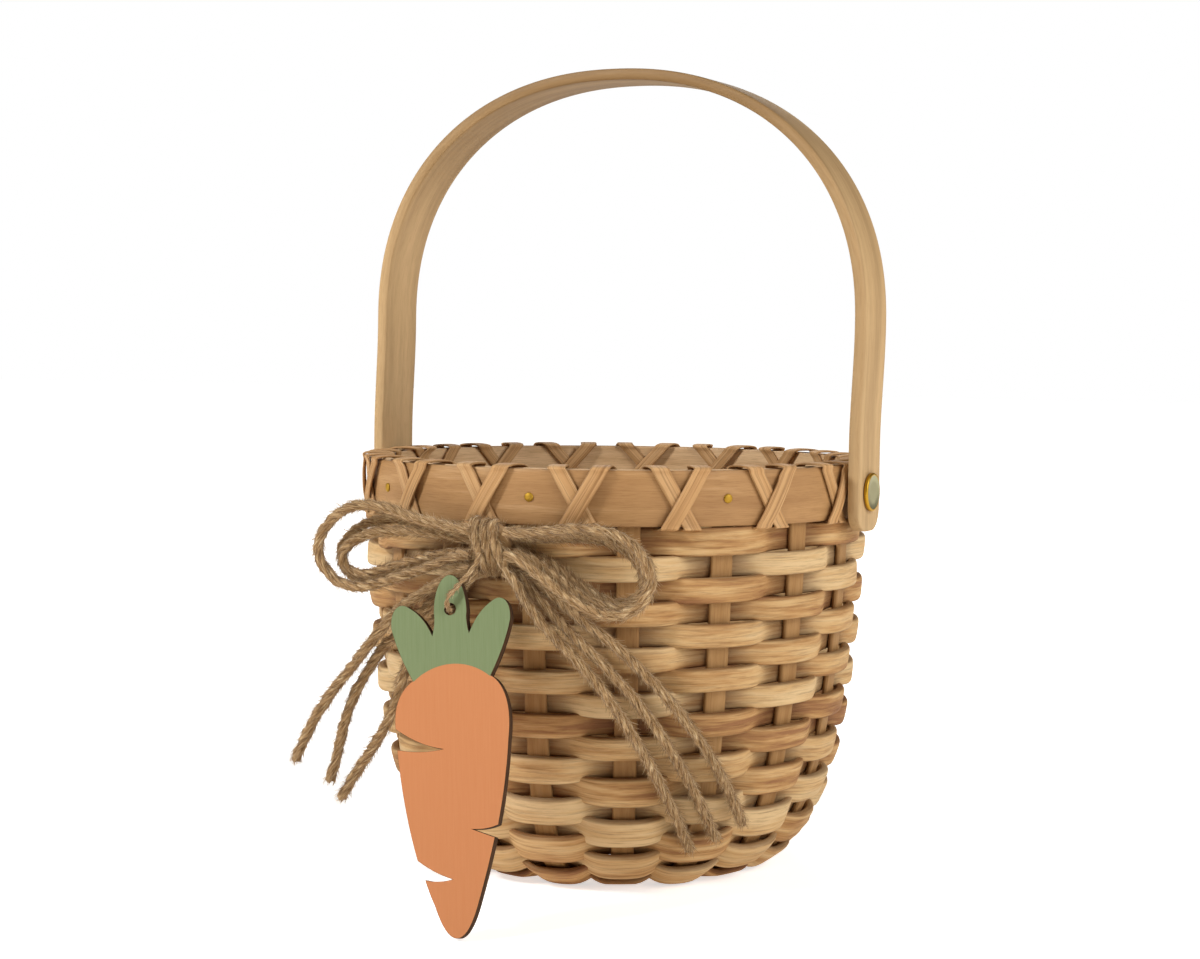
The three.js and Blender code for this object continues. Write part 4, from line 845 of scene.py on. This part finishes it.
seat(rivet_piece(1, "brass_rivet_right"), "basket", "brass", "rivet_right")
seat(rivet_piece(-1, "brass_rivet_left"), "basket", "brass", "rivet_left")
nail_degrees = stake_degrees(np.array(NAILED_STAKES, float))
nail_path = path_mesh(around(nail_degrees, OUTER_HOOP_OUT + CLEARANCE / 2, PIVOT_Z),
                      {"out": around(nail_degrees, 1.0, 0.0)})
nails = grow("brass_nails", nail_path, round_heads, radius=NAIL_HEAD_RADIUS * MM,
             height=NAIL_HEAD_THICK * MM, material=unpolished_brass)
seat(nails, "basket", "brass", *[f"rim_nail_{i + 1}" for i in range(len(NAILED_STAKES))])

# Twine bow: loops in three planes in front of the weave, and loose ends down the front
FRONT, MIDDLE, BACK = -85.0, -81.2, -77.5


def in_plane(y, points):
    return [(x, y, z) for x, z in points]


CORDS = {
    "bow_loop_left_1": in_plane(FRONT, [
        (-2.8, 105.4), (-7, 105.7), (-19.7, 107.6), (-28, 110), (-36, 111), (-43.8, 109), (-50, 103.6),
        (-52, 97.7), (-49.7, 92.3), (-44.3, 88.6), (-36.5, 88.2), (-27, 90.9), (-15.5, 94.8), (-7, 98.2),
        (-2.8, 98.5)]),
    "bow_loop_left_2": in_plane(MIDDLE, [
        (-2.8, 102.4), (-7, 102.6), (-15, 103.5), (-25.5, 103.9), (-35.2, 103), (-42, 100.6),
        (-46.4, 96.6), (-44.8, 92.2), (-38.5, 91), (-28.5, 94), (-16.5, 97.4), (-7, 98.6), (-2.8, 98.7)]),
    "bow_loop_left_3": [
        (-2.8, BACK, 103.8), (-7, BACK, 103.9), (-15, BACK - 0.3, 105.4), (-26, BACK - 0.5, 106.8),
        (-37, BACK - 0.8, 106), (-44.6, BACK - 0.8, 102.4), (-48.6, BACK - 0.8, 97),
        (-46.4, BACK - 0.8, 91.2), (-39.5, BACK - 0.8, 88.9), (-28, BACK - 0.5, 92.4),
        (-15.5, BACK - 0.3, 96), (-7, BACK, 97.4), (-2.8, BACK, 97.5)],
    "bow_loop_right_1": in_plane(FRONT, [
        (7.8, 105.2), (12, 105.2), (20, 106), (29, 107), (38.4, 106.6), (45.6, 103.8), (50.3, 98.7),
        (51.4, 93.2), (48.4, 87.8), (42.2, 84.8), (35.1, 85.2), (27.6, 88.4), (20, 93), (12, 98.2),
        (7.8, 98.9)]),
    "bow_loop_right_2": in_plane(MIDDLE, [
        (7.8, 104.4), (12, 104.4), (20, 105), (28.5, 105.6), (37, 105), (43.6, 102), (47.8, 97),
        (48.6, 92), (45.4, 87.6), (39.6, 86), (33, 87.4), (26, 90.6), (19, 95), (12, 98.6), (7.8, 99.1)]),
    "bow_loop_right_3": in_plane(BACK, [
        (7.8, 103.6), (12, 103.6), (20, 103.9), (28, 104.2), (35.6, 103.4), (41.8, 100.6), (45.6, 95.8),
        (45.8, 90.8), (42, 87.4), (36.4, 87), (30.4, 89.4), (24, 93), (17.6, 96.8), (12, 98.9),
        (7.8, 99.2)]),
    "bow_tail_left_1": [
        (-2.8, -85, 94.6), (-6.5, -85, 93.8), (-13, -84.5, 90), (-20, -84, 86.2), (-27, -83.6, 81.6),
        (-31.8, -83.4, 76.5), (-36.8, -83.2, 70.8), (-43, -83, 63.6), (-49, -82.6, 57), (-54, -82.2, 50.4),
        (-57.6, -82, 44.6), (-60.4, -82, 39), (-61.6, -82, 36.4)],
    "bow_tail_left_2": [
        (-2.8, -81.2, 94.6), (-6.5, -81.1, 93.4), (-14, -80.6, 87.6), (-22, -80, 80.4), (-28, -79.8, 75.4),
        (-33.6, -79.5, 70.6), (-38.6, -79.4, 64), (-42.4, -79.2, 58.2), (-45.2, -79, 52.8),
        (-47.2, -79, 47), (-48.8, -79, 41), (-50.6, -78.8, 35), (-52, -78.8, 31)],
    "bow_tail_left_3": [
        (-2.8, -77.8, 93.6), (-6.5, -77.9, 91.6), (-12, -77.8, 86), (-18, -77.5, 79.2), (-24, -77, 71.6),
        (-28, -76.5, 65), (-30.2, -76.3, 59.2), (-32.4, -76, 53), (-35.2, -76, 47.6), (-38.8, -76, 41.8),
        (-43.2, -76, 35.6), (-47.8, -76, 29), (-50, -76, 25.5)],
    "bow_tail_right_1": [
        (7.8, -77.9, 95.2), (11, -78.1, 93.8), (15.5, -77.7, 90), (22, -75.8, 84.6), (29, -73.4, 79),
        (36, -69.2, 72.4), (42, -64.5, 65), (47.2, -59.8, 57.4), (51.6, -54.6, 49), (54.4, -49.2, 41),
        (56.4, -43, 32.4), (57.5, -37.6, 24.6), (57.7, -35.6, 21.5)],
    "bow_tail_right_2": [
        (7.8, -81.2, 94.6), (11, -81.2, 92.6), (15, -80.8, 88), (21, -78.6, 81.4), (27, -75.3, 74.6),
        (33, -71, 67.2), (38.5, -66.5, 59.4), (43, -61.8, 51), (46.5, -57, 42.6), (49, -51.5, 34),
        (50.6, -46.4, 26), (51.6, -42.2, 19.8), (51.9, -40.6, 17.5)],
    "bow_tail_right_3": [
        (7.8, -85, 94.8), (10.8, -85, 92.4), (14.4, -84.4, 86.4), (19, -82, 79.6), (24, -78.2, 73),
        (29, -74.2, 66), (33.5, -70.4, 58.4), (37.2, -66.5, 50.4), (40.5, -61.6, 41.6), (42.6, -56.4, 33),
        (44.2, -51.4, 25.4), (45.4, -47, 17.8), (45.9, -45.2, 14.6)],
}
HANGER = [
    (1.6, -87.9, 99.5), (1.2, -88.6, 97.2), (0, -90.3, 94.2), (-2, -92.8, 91), (-3.9, -94.6, 88.2),
    (-4.4, -94.9, 86.2), (-4.4, -94, 84.5), (-4.5, -92, 84), (-4.8, -90.2, 83.9), (-5.1, -89, 84.7),
    (-5.2, -88.3, 86.4), (-4.2, -87.6, 88.7), (-2, -87, 91), (0, -87.2, 93.2), (0.6, -87.4, 94)]


def routed(points, step=1.0):
    """An even line through given points."""
    line = smooth_line(points, 24, False)
    runs = running_length(line)
    marks = np.linspace(0, runs[-1], max(2, round(runs[-1] / step) + 1))
    return np.stack([np.interp(marks, runs, line[:, k]) for k in range(3)], axis=1), runs[-1]


def twine_piece(name, points, diameter, make, seed):
    plies, lay, fibre = make
    return grow(name, path_mesh(points, {}), laid_twine, diameter=diameter * MM, plies=plies, lay=lay * MM,
                fibre_length=fibre * MM, fibre_density=FIBRES_PER_AREA, seed=seed, material=jute)


for seed, (node, points) in enumerate(CORDS.items(), start=1):
    line, length = routed(points)
    piece = twine_piece(f"jute_{node}", line, TWINE_DIAMETER, TWINE_MAKE, seed)
    seat(piece, "basket", "twine", node)

# Knot: three turns of twine drawn round the middle of the bow, over the strands inside
KNOT_CENTRE = np.array((2.5, -81.4, 100.8))
KNOT_TURNS, KNOT_RADIUS, KNOT_FLATTEN = 3, 7.9, 0.66
KNOT_SLANT, KNOT_DRAWN_IN, KNOT_SWELL = 1.9, 0.4, 1.1
KNOT_STRAY, KNOT_STRAY_RATE = (0.5, 0.3, 0.5), (0.37, 0.6, 0.45)  # millimetres, and waves in a turn
KNOT_CORE = (5.2, 4.2, 6.6)  # radii of the strands inside
turn = np.linspace(0, 2 * np.pi * (KNOT_TURNS - 0.02), 160)
core = KNOT_RADIUS - TWINE_DIAMETER / 2
stray_x, stray_y, stray_z = (size * np.sin(rate * turn) for size, rate in zip(KNOT_STRAY, KNOT_STRAY_RATE))
knot_line = KNOT_CENTRE + np.stack([
    TWINE_DIAMETER * (turn / (2 * np.pi) - KNOT_TURNS / 2) - KNOT_SLANT * np.sin(turn) + stray_x,
    (core * KNOT_FLATTEN - KNOT_DRAWN_IN + stray_y) * np.cos(turn),
    (core + stray_z) * np.sin(turn)], axis=1)
knot = twine_piece("jute_knot", knot_line, TWINE_DIAMETER * KNOT_SWELL, TWINE_MAKE, seed=31)
inside = show("knot_core", bpy.data.meshes.new("knot_core"))
shape = bmesh.new()
bmesh.ops.create_uvsphere(shape, u_segments=24, v_segments=16, radius=1.0, matrix=Matrix.Translation(
    Vector(KNOT_CENTRE * MM)) @ Matrix.Diagonal((*(radius * MM for radius in KNOT_CORE), 1)))
shape.to_mesh(inside.data)
shape.free()
inside.data.materials.append(jute)
for piece in (knot, inside):
    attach(piece, "basket")
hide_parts("bow_knot")

line, length = routed(HANGER, 0.5)
hanger = twine_piece("jute_tag_string", line, HANGER_DIAMETER, HANGER_MAKE, seed=41)
seat(hanger, "tag", "twine", "tag_hanger")


# Carrot tag

def tag_outline():
    """Three leaves over a root with three carved notches, about the hole."""
    tip, wide, leaf = -TAG_LENGTH, TAG_HALF_WIDTH, LEAF_HALF_WIDTH
    curves = [
        ((2.4, tip), (4.4, tip + 3.6), (6, tip + 8.6)),
        ((8.8, tip + 17), (11, tip + 25.6)),
        ((7.6, tip + 26.9), (4.9, tip + 28)),
        ((9, tip + 27.6), (12, tip + 28.8)),
        ((14.6, tip + 40), (wide - 0.7, tip + 51)),
        ((wide + 0.6, tip + 60), (wide - 1.4, tip + 66), (11, tip + 68.4)),
        ((wide - 1, tip + 76), (wide + 0.7, tip + 83)),
        ((wide + 1.2, tip + 88), (wide - 1.6, tip + 90.6), (wide - 4.4, tip + 88.4)),
        ((leaf + 3, tip + 86), (leaf + 0.5, tip + 80.3)),
        ((leaf - 0.4, tip + 84), (leaf, -1)),
        ((leaf, 5), (2.6, LEAF_RISE), (0, LEAF_RISE)),
        ((-2.6, LEAF_RISE), (-leaf, 5), (-leaf, -1)),
        ((0.4 - leaf, tip + 84), (-leaf - 0.5, tip + 80.3)),
        ((-leaf - 3, tip + 86), (4.4 - wide, tip + 88.4)),
        ((1.6 - wide, tip + 90.6), (-wide - 1.2, tip + 88), (-wide - 0.7, tip + 83)),
        ((1 - wide, tip + 76), (-11, tip + 68.4)),
        ((1.4 - wide, tip + 66), (-wide - 0.4, tip + 62), (-wide, tip + 55.8)),
        ((-10, tip + 51), (-3, tip + 49.6)),
        ((-9, tip + 48.6), (0.4 - wide, tip + 50.2)),
        ((-14.4, tip + 34), (-10.6, tip + 20.6)),
        ((-6, tip + 17), (-1, tip + 15.3)),
        ((-5, tip + 14.4), (-8.6, tip + 15.5)),
        ((-7.4, tip + 11.6), (-6, tip + 8.6)),
        ((-4.4, tip + 3.6), (-2.4, tip), (0, tip)),
    ]
    outline, start = [], np.array((0.0, tip))
    for curve in curves:
        ends = [start, *[np.array(p, float) for p in curve]]
        degree = len(ends) - 1
        for t in np.linspace(0, 1, 14, endpoint=False):
            outline.append(sum(math.comb(degree, k) * (1 - t) ** (degree - k) * t ** k * end
                               for k, end in enumerate(ends)))
        start = ends[-1]
    return outline


def tag_piece(paint, edge):
    flat = bpy.data.curves.new("tag_outline", "CURVE")
    flat.dimensions, flat.fill_mode = "2D", "BOTH"
    softened = 0.12
    flat.extrude = (TAG_THICK / 2 - softened) * MM
    flat.bevel_depth, flat.offset = softened * MM, -softened * MM
    hole = [TAG_HOLE_RADIUS * np.array((math.cos(a), -math.sin(a)))
            for a in np.linspace(0, math.tau, 32, endpoint=False)]
    for ring in (tag_outline(), hole):
        spline = flat.splines.new("POLY")
        spline.points.add(len(ring) - 1)
        for point, (x, y) in zip(spline.points, ring):
            point.co = (x * MM, y * MM, 0, 1)
        spline.use_cyclic_u = True
    shape = bpy.data.objects.new("tag_shape", flat)
    mesh = bpy.data.meshes.new_from_object(shape)
    bpy.data.objects.remove(shape)
    bpy.data.curves.remove(flat)
    own = np.zeros(len(mesh.vertices) * 3, np.float32)
    mesh.vertices.foreach_get("co", own)
    mesh.attributes.new("tag", "FLOAT_VECTOR", "POINT").data.foreach_set("vector", own)
    mesh.materials.clear()
    mesh.materials.append(paint)
    mesh.materials.append(edge)
    for face in mesh.polygons:
        face.material_index = 0 if abs(face.normal.z) > 0.9 else 1
    drop = min(TAG_HOLE.z - TAG_LIFT, TAG_LENGTH)
    out = math.sqrt(TAG_LENGTH ** 2 - drop ** 2)
    heading = math.radians(TAG_HEADING)
    up = Vector((-out * math.sin(heading), out * math.cos(heading), drop)).normalized()
    right = (Vector((1, 0, 0)) - up * up.x).normalized()
    right = Matrix.Rotation(math.radians(TAG_TURN), 3, up) @ right
    turn = Matrix((right, up, right.cross(up))).transposed().to_4x4()
    mesh.transform(Matrix.Translation(TAG_HOLE * MM) @ turn)
    face_outwards(mesh, merge=1e-7)
    return show("carrot_tag_board", mesh)


# Chalk paint on plywood: flat orange root and sage leaves, with the grain showing through in lines
chalk_paint, tree = blank_material("chalk_paint_on_plywood")
place = add(tree, "ShaderNodeAttribute", attribute_name="tag").outputs["Vector"]
grain = drawn_noise(tree, place, (0.45, 14, 2), roughness=0.6)
leaf_colour = add(tree, "ShaderNodeValToRGB", {"Fac": grain}, [
    (0.3, "#70805A"), (0.5, "#75845F"), (0.75, "#7A8964")])
root_colour = add(tree, "ShaderNodeValToRGB", {"Fac": grain}, [
    (0.3, "#C07D51"), (0.5, "#C17F53"), (0.75, "#C38155")])
# The top of the root is an arc about a centre under the hole
centre = add(tree, "ShaderNodeVectorMath", {0: place, 1: (0.0, ROOT_DROP * MM, 0.0)})
squash = add(tree, "ShaderNodeVectorMath", {0: centre, 1: (1.0, 1.0, 0.0)}, operation="MULTIPLY")
distance = add(tree, "ShaderNodeVectorMath", {0: squash}, operation="LENGTH")
high = add(tree, "ShaderNodeSeparateXYZ", {"Vector": centre})
outside = add(tree, "ShaderNodeMath", {0: distance, 1: ROOT_RADIUS * MM}, operation="GREATER_THAN")
above = add(tree, "ShaderNodeMath", {0: high.outputs["Y"], 1: LEAF_FROM * MM}, operation="GREATER_THAN")
leafy = add(tree, "ShaderNodeMath", {0: outside, 1: above}, operation="MULTIPLY")
painted = add(tree, "ShaderNodeMix", {
    "Factor": leafy, "A": root_colour, "B": leaf_colour}, data_type="RGBA")
paint_bump = add(tree, "ShaderNodeBump", {"Height": grain, "Distance": 0.012 * MM, "Strength": 0.7})
surface(tree, {
    "Base Color": painted, "Roughness": 0.75, "Normal": paint_bump, "Specular IOR Level": 0.25})

# Laser cut plywood edge: scorched dark brown, streaked along its plies
scorched_edge, tree = blank_material("scorched_plywood_edge")
place = add(tree, "ShaderNodeAttribute", attribute_name="tag").outputs["Vector"]
char = drawn_noise(tree, place, (6, 6, 0.5))
char_colour = add(tree, "ShaderNodeValToRGB", {"Fac": char}, [
    (0.3, "#2E1E12"), (0.6, "#4A3320"), (0.8, "#5E442C")])
surface(tree, {"Base Color": char_colour, "Roughness": 0.85, "Specular IOR Level": 0.2})
seat(tag_piece(chalk_paint, scorched_edge), "tag", "painted_wood", "carrot_tag")

# Stage: a white floor, white all round, three soft lights and a camera at the photograph's place.
# Floor and surroundings show white, and as light on the object they are weaker and a little warm.
FILL_COLOUR = linear("#FFE8C8")
WHITE = (1, 1, 1, 1)
FLOOR_REACH = 6.0  # metres


def fill_light(tree, on_object, seen):
    """Colour and strength of a fill, by its strength on the object and as the camera sees it."""
    by_camera = add(tree, "ShaderNodeLightPath").outputs["Is Camera Ray"]
    colour = add(tree, "ShaderNodeMix", {
        "Factor": by_camera, "A": FILL_COLOUR, "B": WHITE}, data_type="RGBA")
    return colour, add(tree, "ShaderNodeMapRange", {
        "Value": by_camera, "To Min": on_object, "To Max": seen})


floor_mesh = bpy.data.meshes.new("floor")
floor_corners = [(x * FLOOR_REACH, y * FLOOR_REACH, 0) for x, y in ((-1, -1), (1, -1), (1, 1), (-1, 1))]
floor_mesh.from_pydata(floor_corners, [], [(0, 1, 2, 3)])
floor = show("floor", floor_mesh)
paper, tree = blank_material("white_paper")
place = add(tree, "ShaderNodeTexCoord").outputs["Object"]
away = add(tree, "ShaderNodeVectorMath", {0: place}, operation="LENGTH")
# Painted light on the floor: its glow grows away from the basket to make up for the lamps' fall-off, and
# the camera sees it brighter near the basket, which fades the shadows there
glow_colour, near = fill_light(tree, 0.26, 0.6)
glow = add(tree, "ShaderNodeMapRange", {
    "Value": away, "From Min": 0.1, "From Max": 0.8, "To Min": near, "To Max": 0.95})
surface(tree, {
    "Base Color": linear("#FAFAF9"), "Roughness": 0.9, "Specular IOR Level": 0.1,
    "Emission Color": glow_colour, "Emission Strength": glow})
floor_mesh.materials.append(paper)

world = bpy.data.worlds.new("studio")
bpy.context.scene.world = world
world.use_nodes = True
tree = world.node_tree
tree.nodes.clear()
sky_colour, strength = fill_light(tree, 0.14, 1.0)
sky = add(tree, "ShaderNodeBackground", {"Color": sky_colour, "Strength": strength})
add(tree, "ShaderNodeOutputWorld", {"Surface": sky})

# Round soft lights: place and width in metres, power in watts
LIGHT_AIM = Vector((0, 0, 0.1))
for name, place, width, power in (("left", (-0.62, -0.95, 0.85), 0.3, 12.2),
                                  ("right", (1.8, -0.3, 1.15), 1.5, 29),
                                  ("behind", (-0.55, 1.0, 0.9), 1.0, 4)):
    light = bpy.data.lights.new(name, "AREA")
    light.shape, light.size, light.energy = "DISK", width, power
    lamp = bpy.data.objects.new(name, light)
    lamp.location = place
    lamp.rotation_euler = (LIGHT_AIM - lamp.location).to_track_quat("-Z", "Y").to_euler()
    bpy.context.scene.collection.objects.link(lamp)

AZIMUTH, PITCH, ROLL = math.radians(25.846), math.radians(-3.443), math.radians(0.593)
EYE_DISTANCE, EYE_HEIGHT = 683.4, 156.11
FOCAL_PIXELS, IMAGE_WIDTH, OFF_CENTRE, SENSOR_WIDTH = 2242.7, 1200, 16.655, 36
ahead = Vector((-math.sin(AZIMUTH) * math.cos(PITCH), math.cos(AZIMUTH) * math.cos(PITCH), math.sin(PITCH)))
right = Vector((math.cos(AZIMUTH), math.sin(AZIMUTH), 0))
up = right.cross(ahead)
level_right = right * math.cos(ROLL) + up * math.sin(ROLL)
level_up = up * math.cos(ROLL) - right * math.sin(ROLL)
eye = Vector((EYE_DISTANCE * math.sin(AZIMUTH), -EYE_DISTANCE * math.cos(AZIMUTH), EYE_HEIGHT)) * MM
camera_data = bpy.data.cameras.new("camera")
camera_data.sensor_width = SENSOR_WIDTH
camera_data.lens = FOCAL_PIXELS * SENSOR_WIDTH / IMAGE_WIDTH
camera_data.shift_x = -OFF_CENTRE / IMAGE_WIDTH
camera = bpy.data.objects.new("camera", camera_data)
camera.matrix_world = Matrix((level_right, level_up, -ahead)).transposed().to_4x4()
camera.matrix_world.translation = eye
bpy.context.scene.collection.objects.link(camera)
bpy.context.scene.camera = camera
bpy.context.scene.view_settings.view_transform = "Standard"
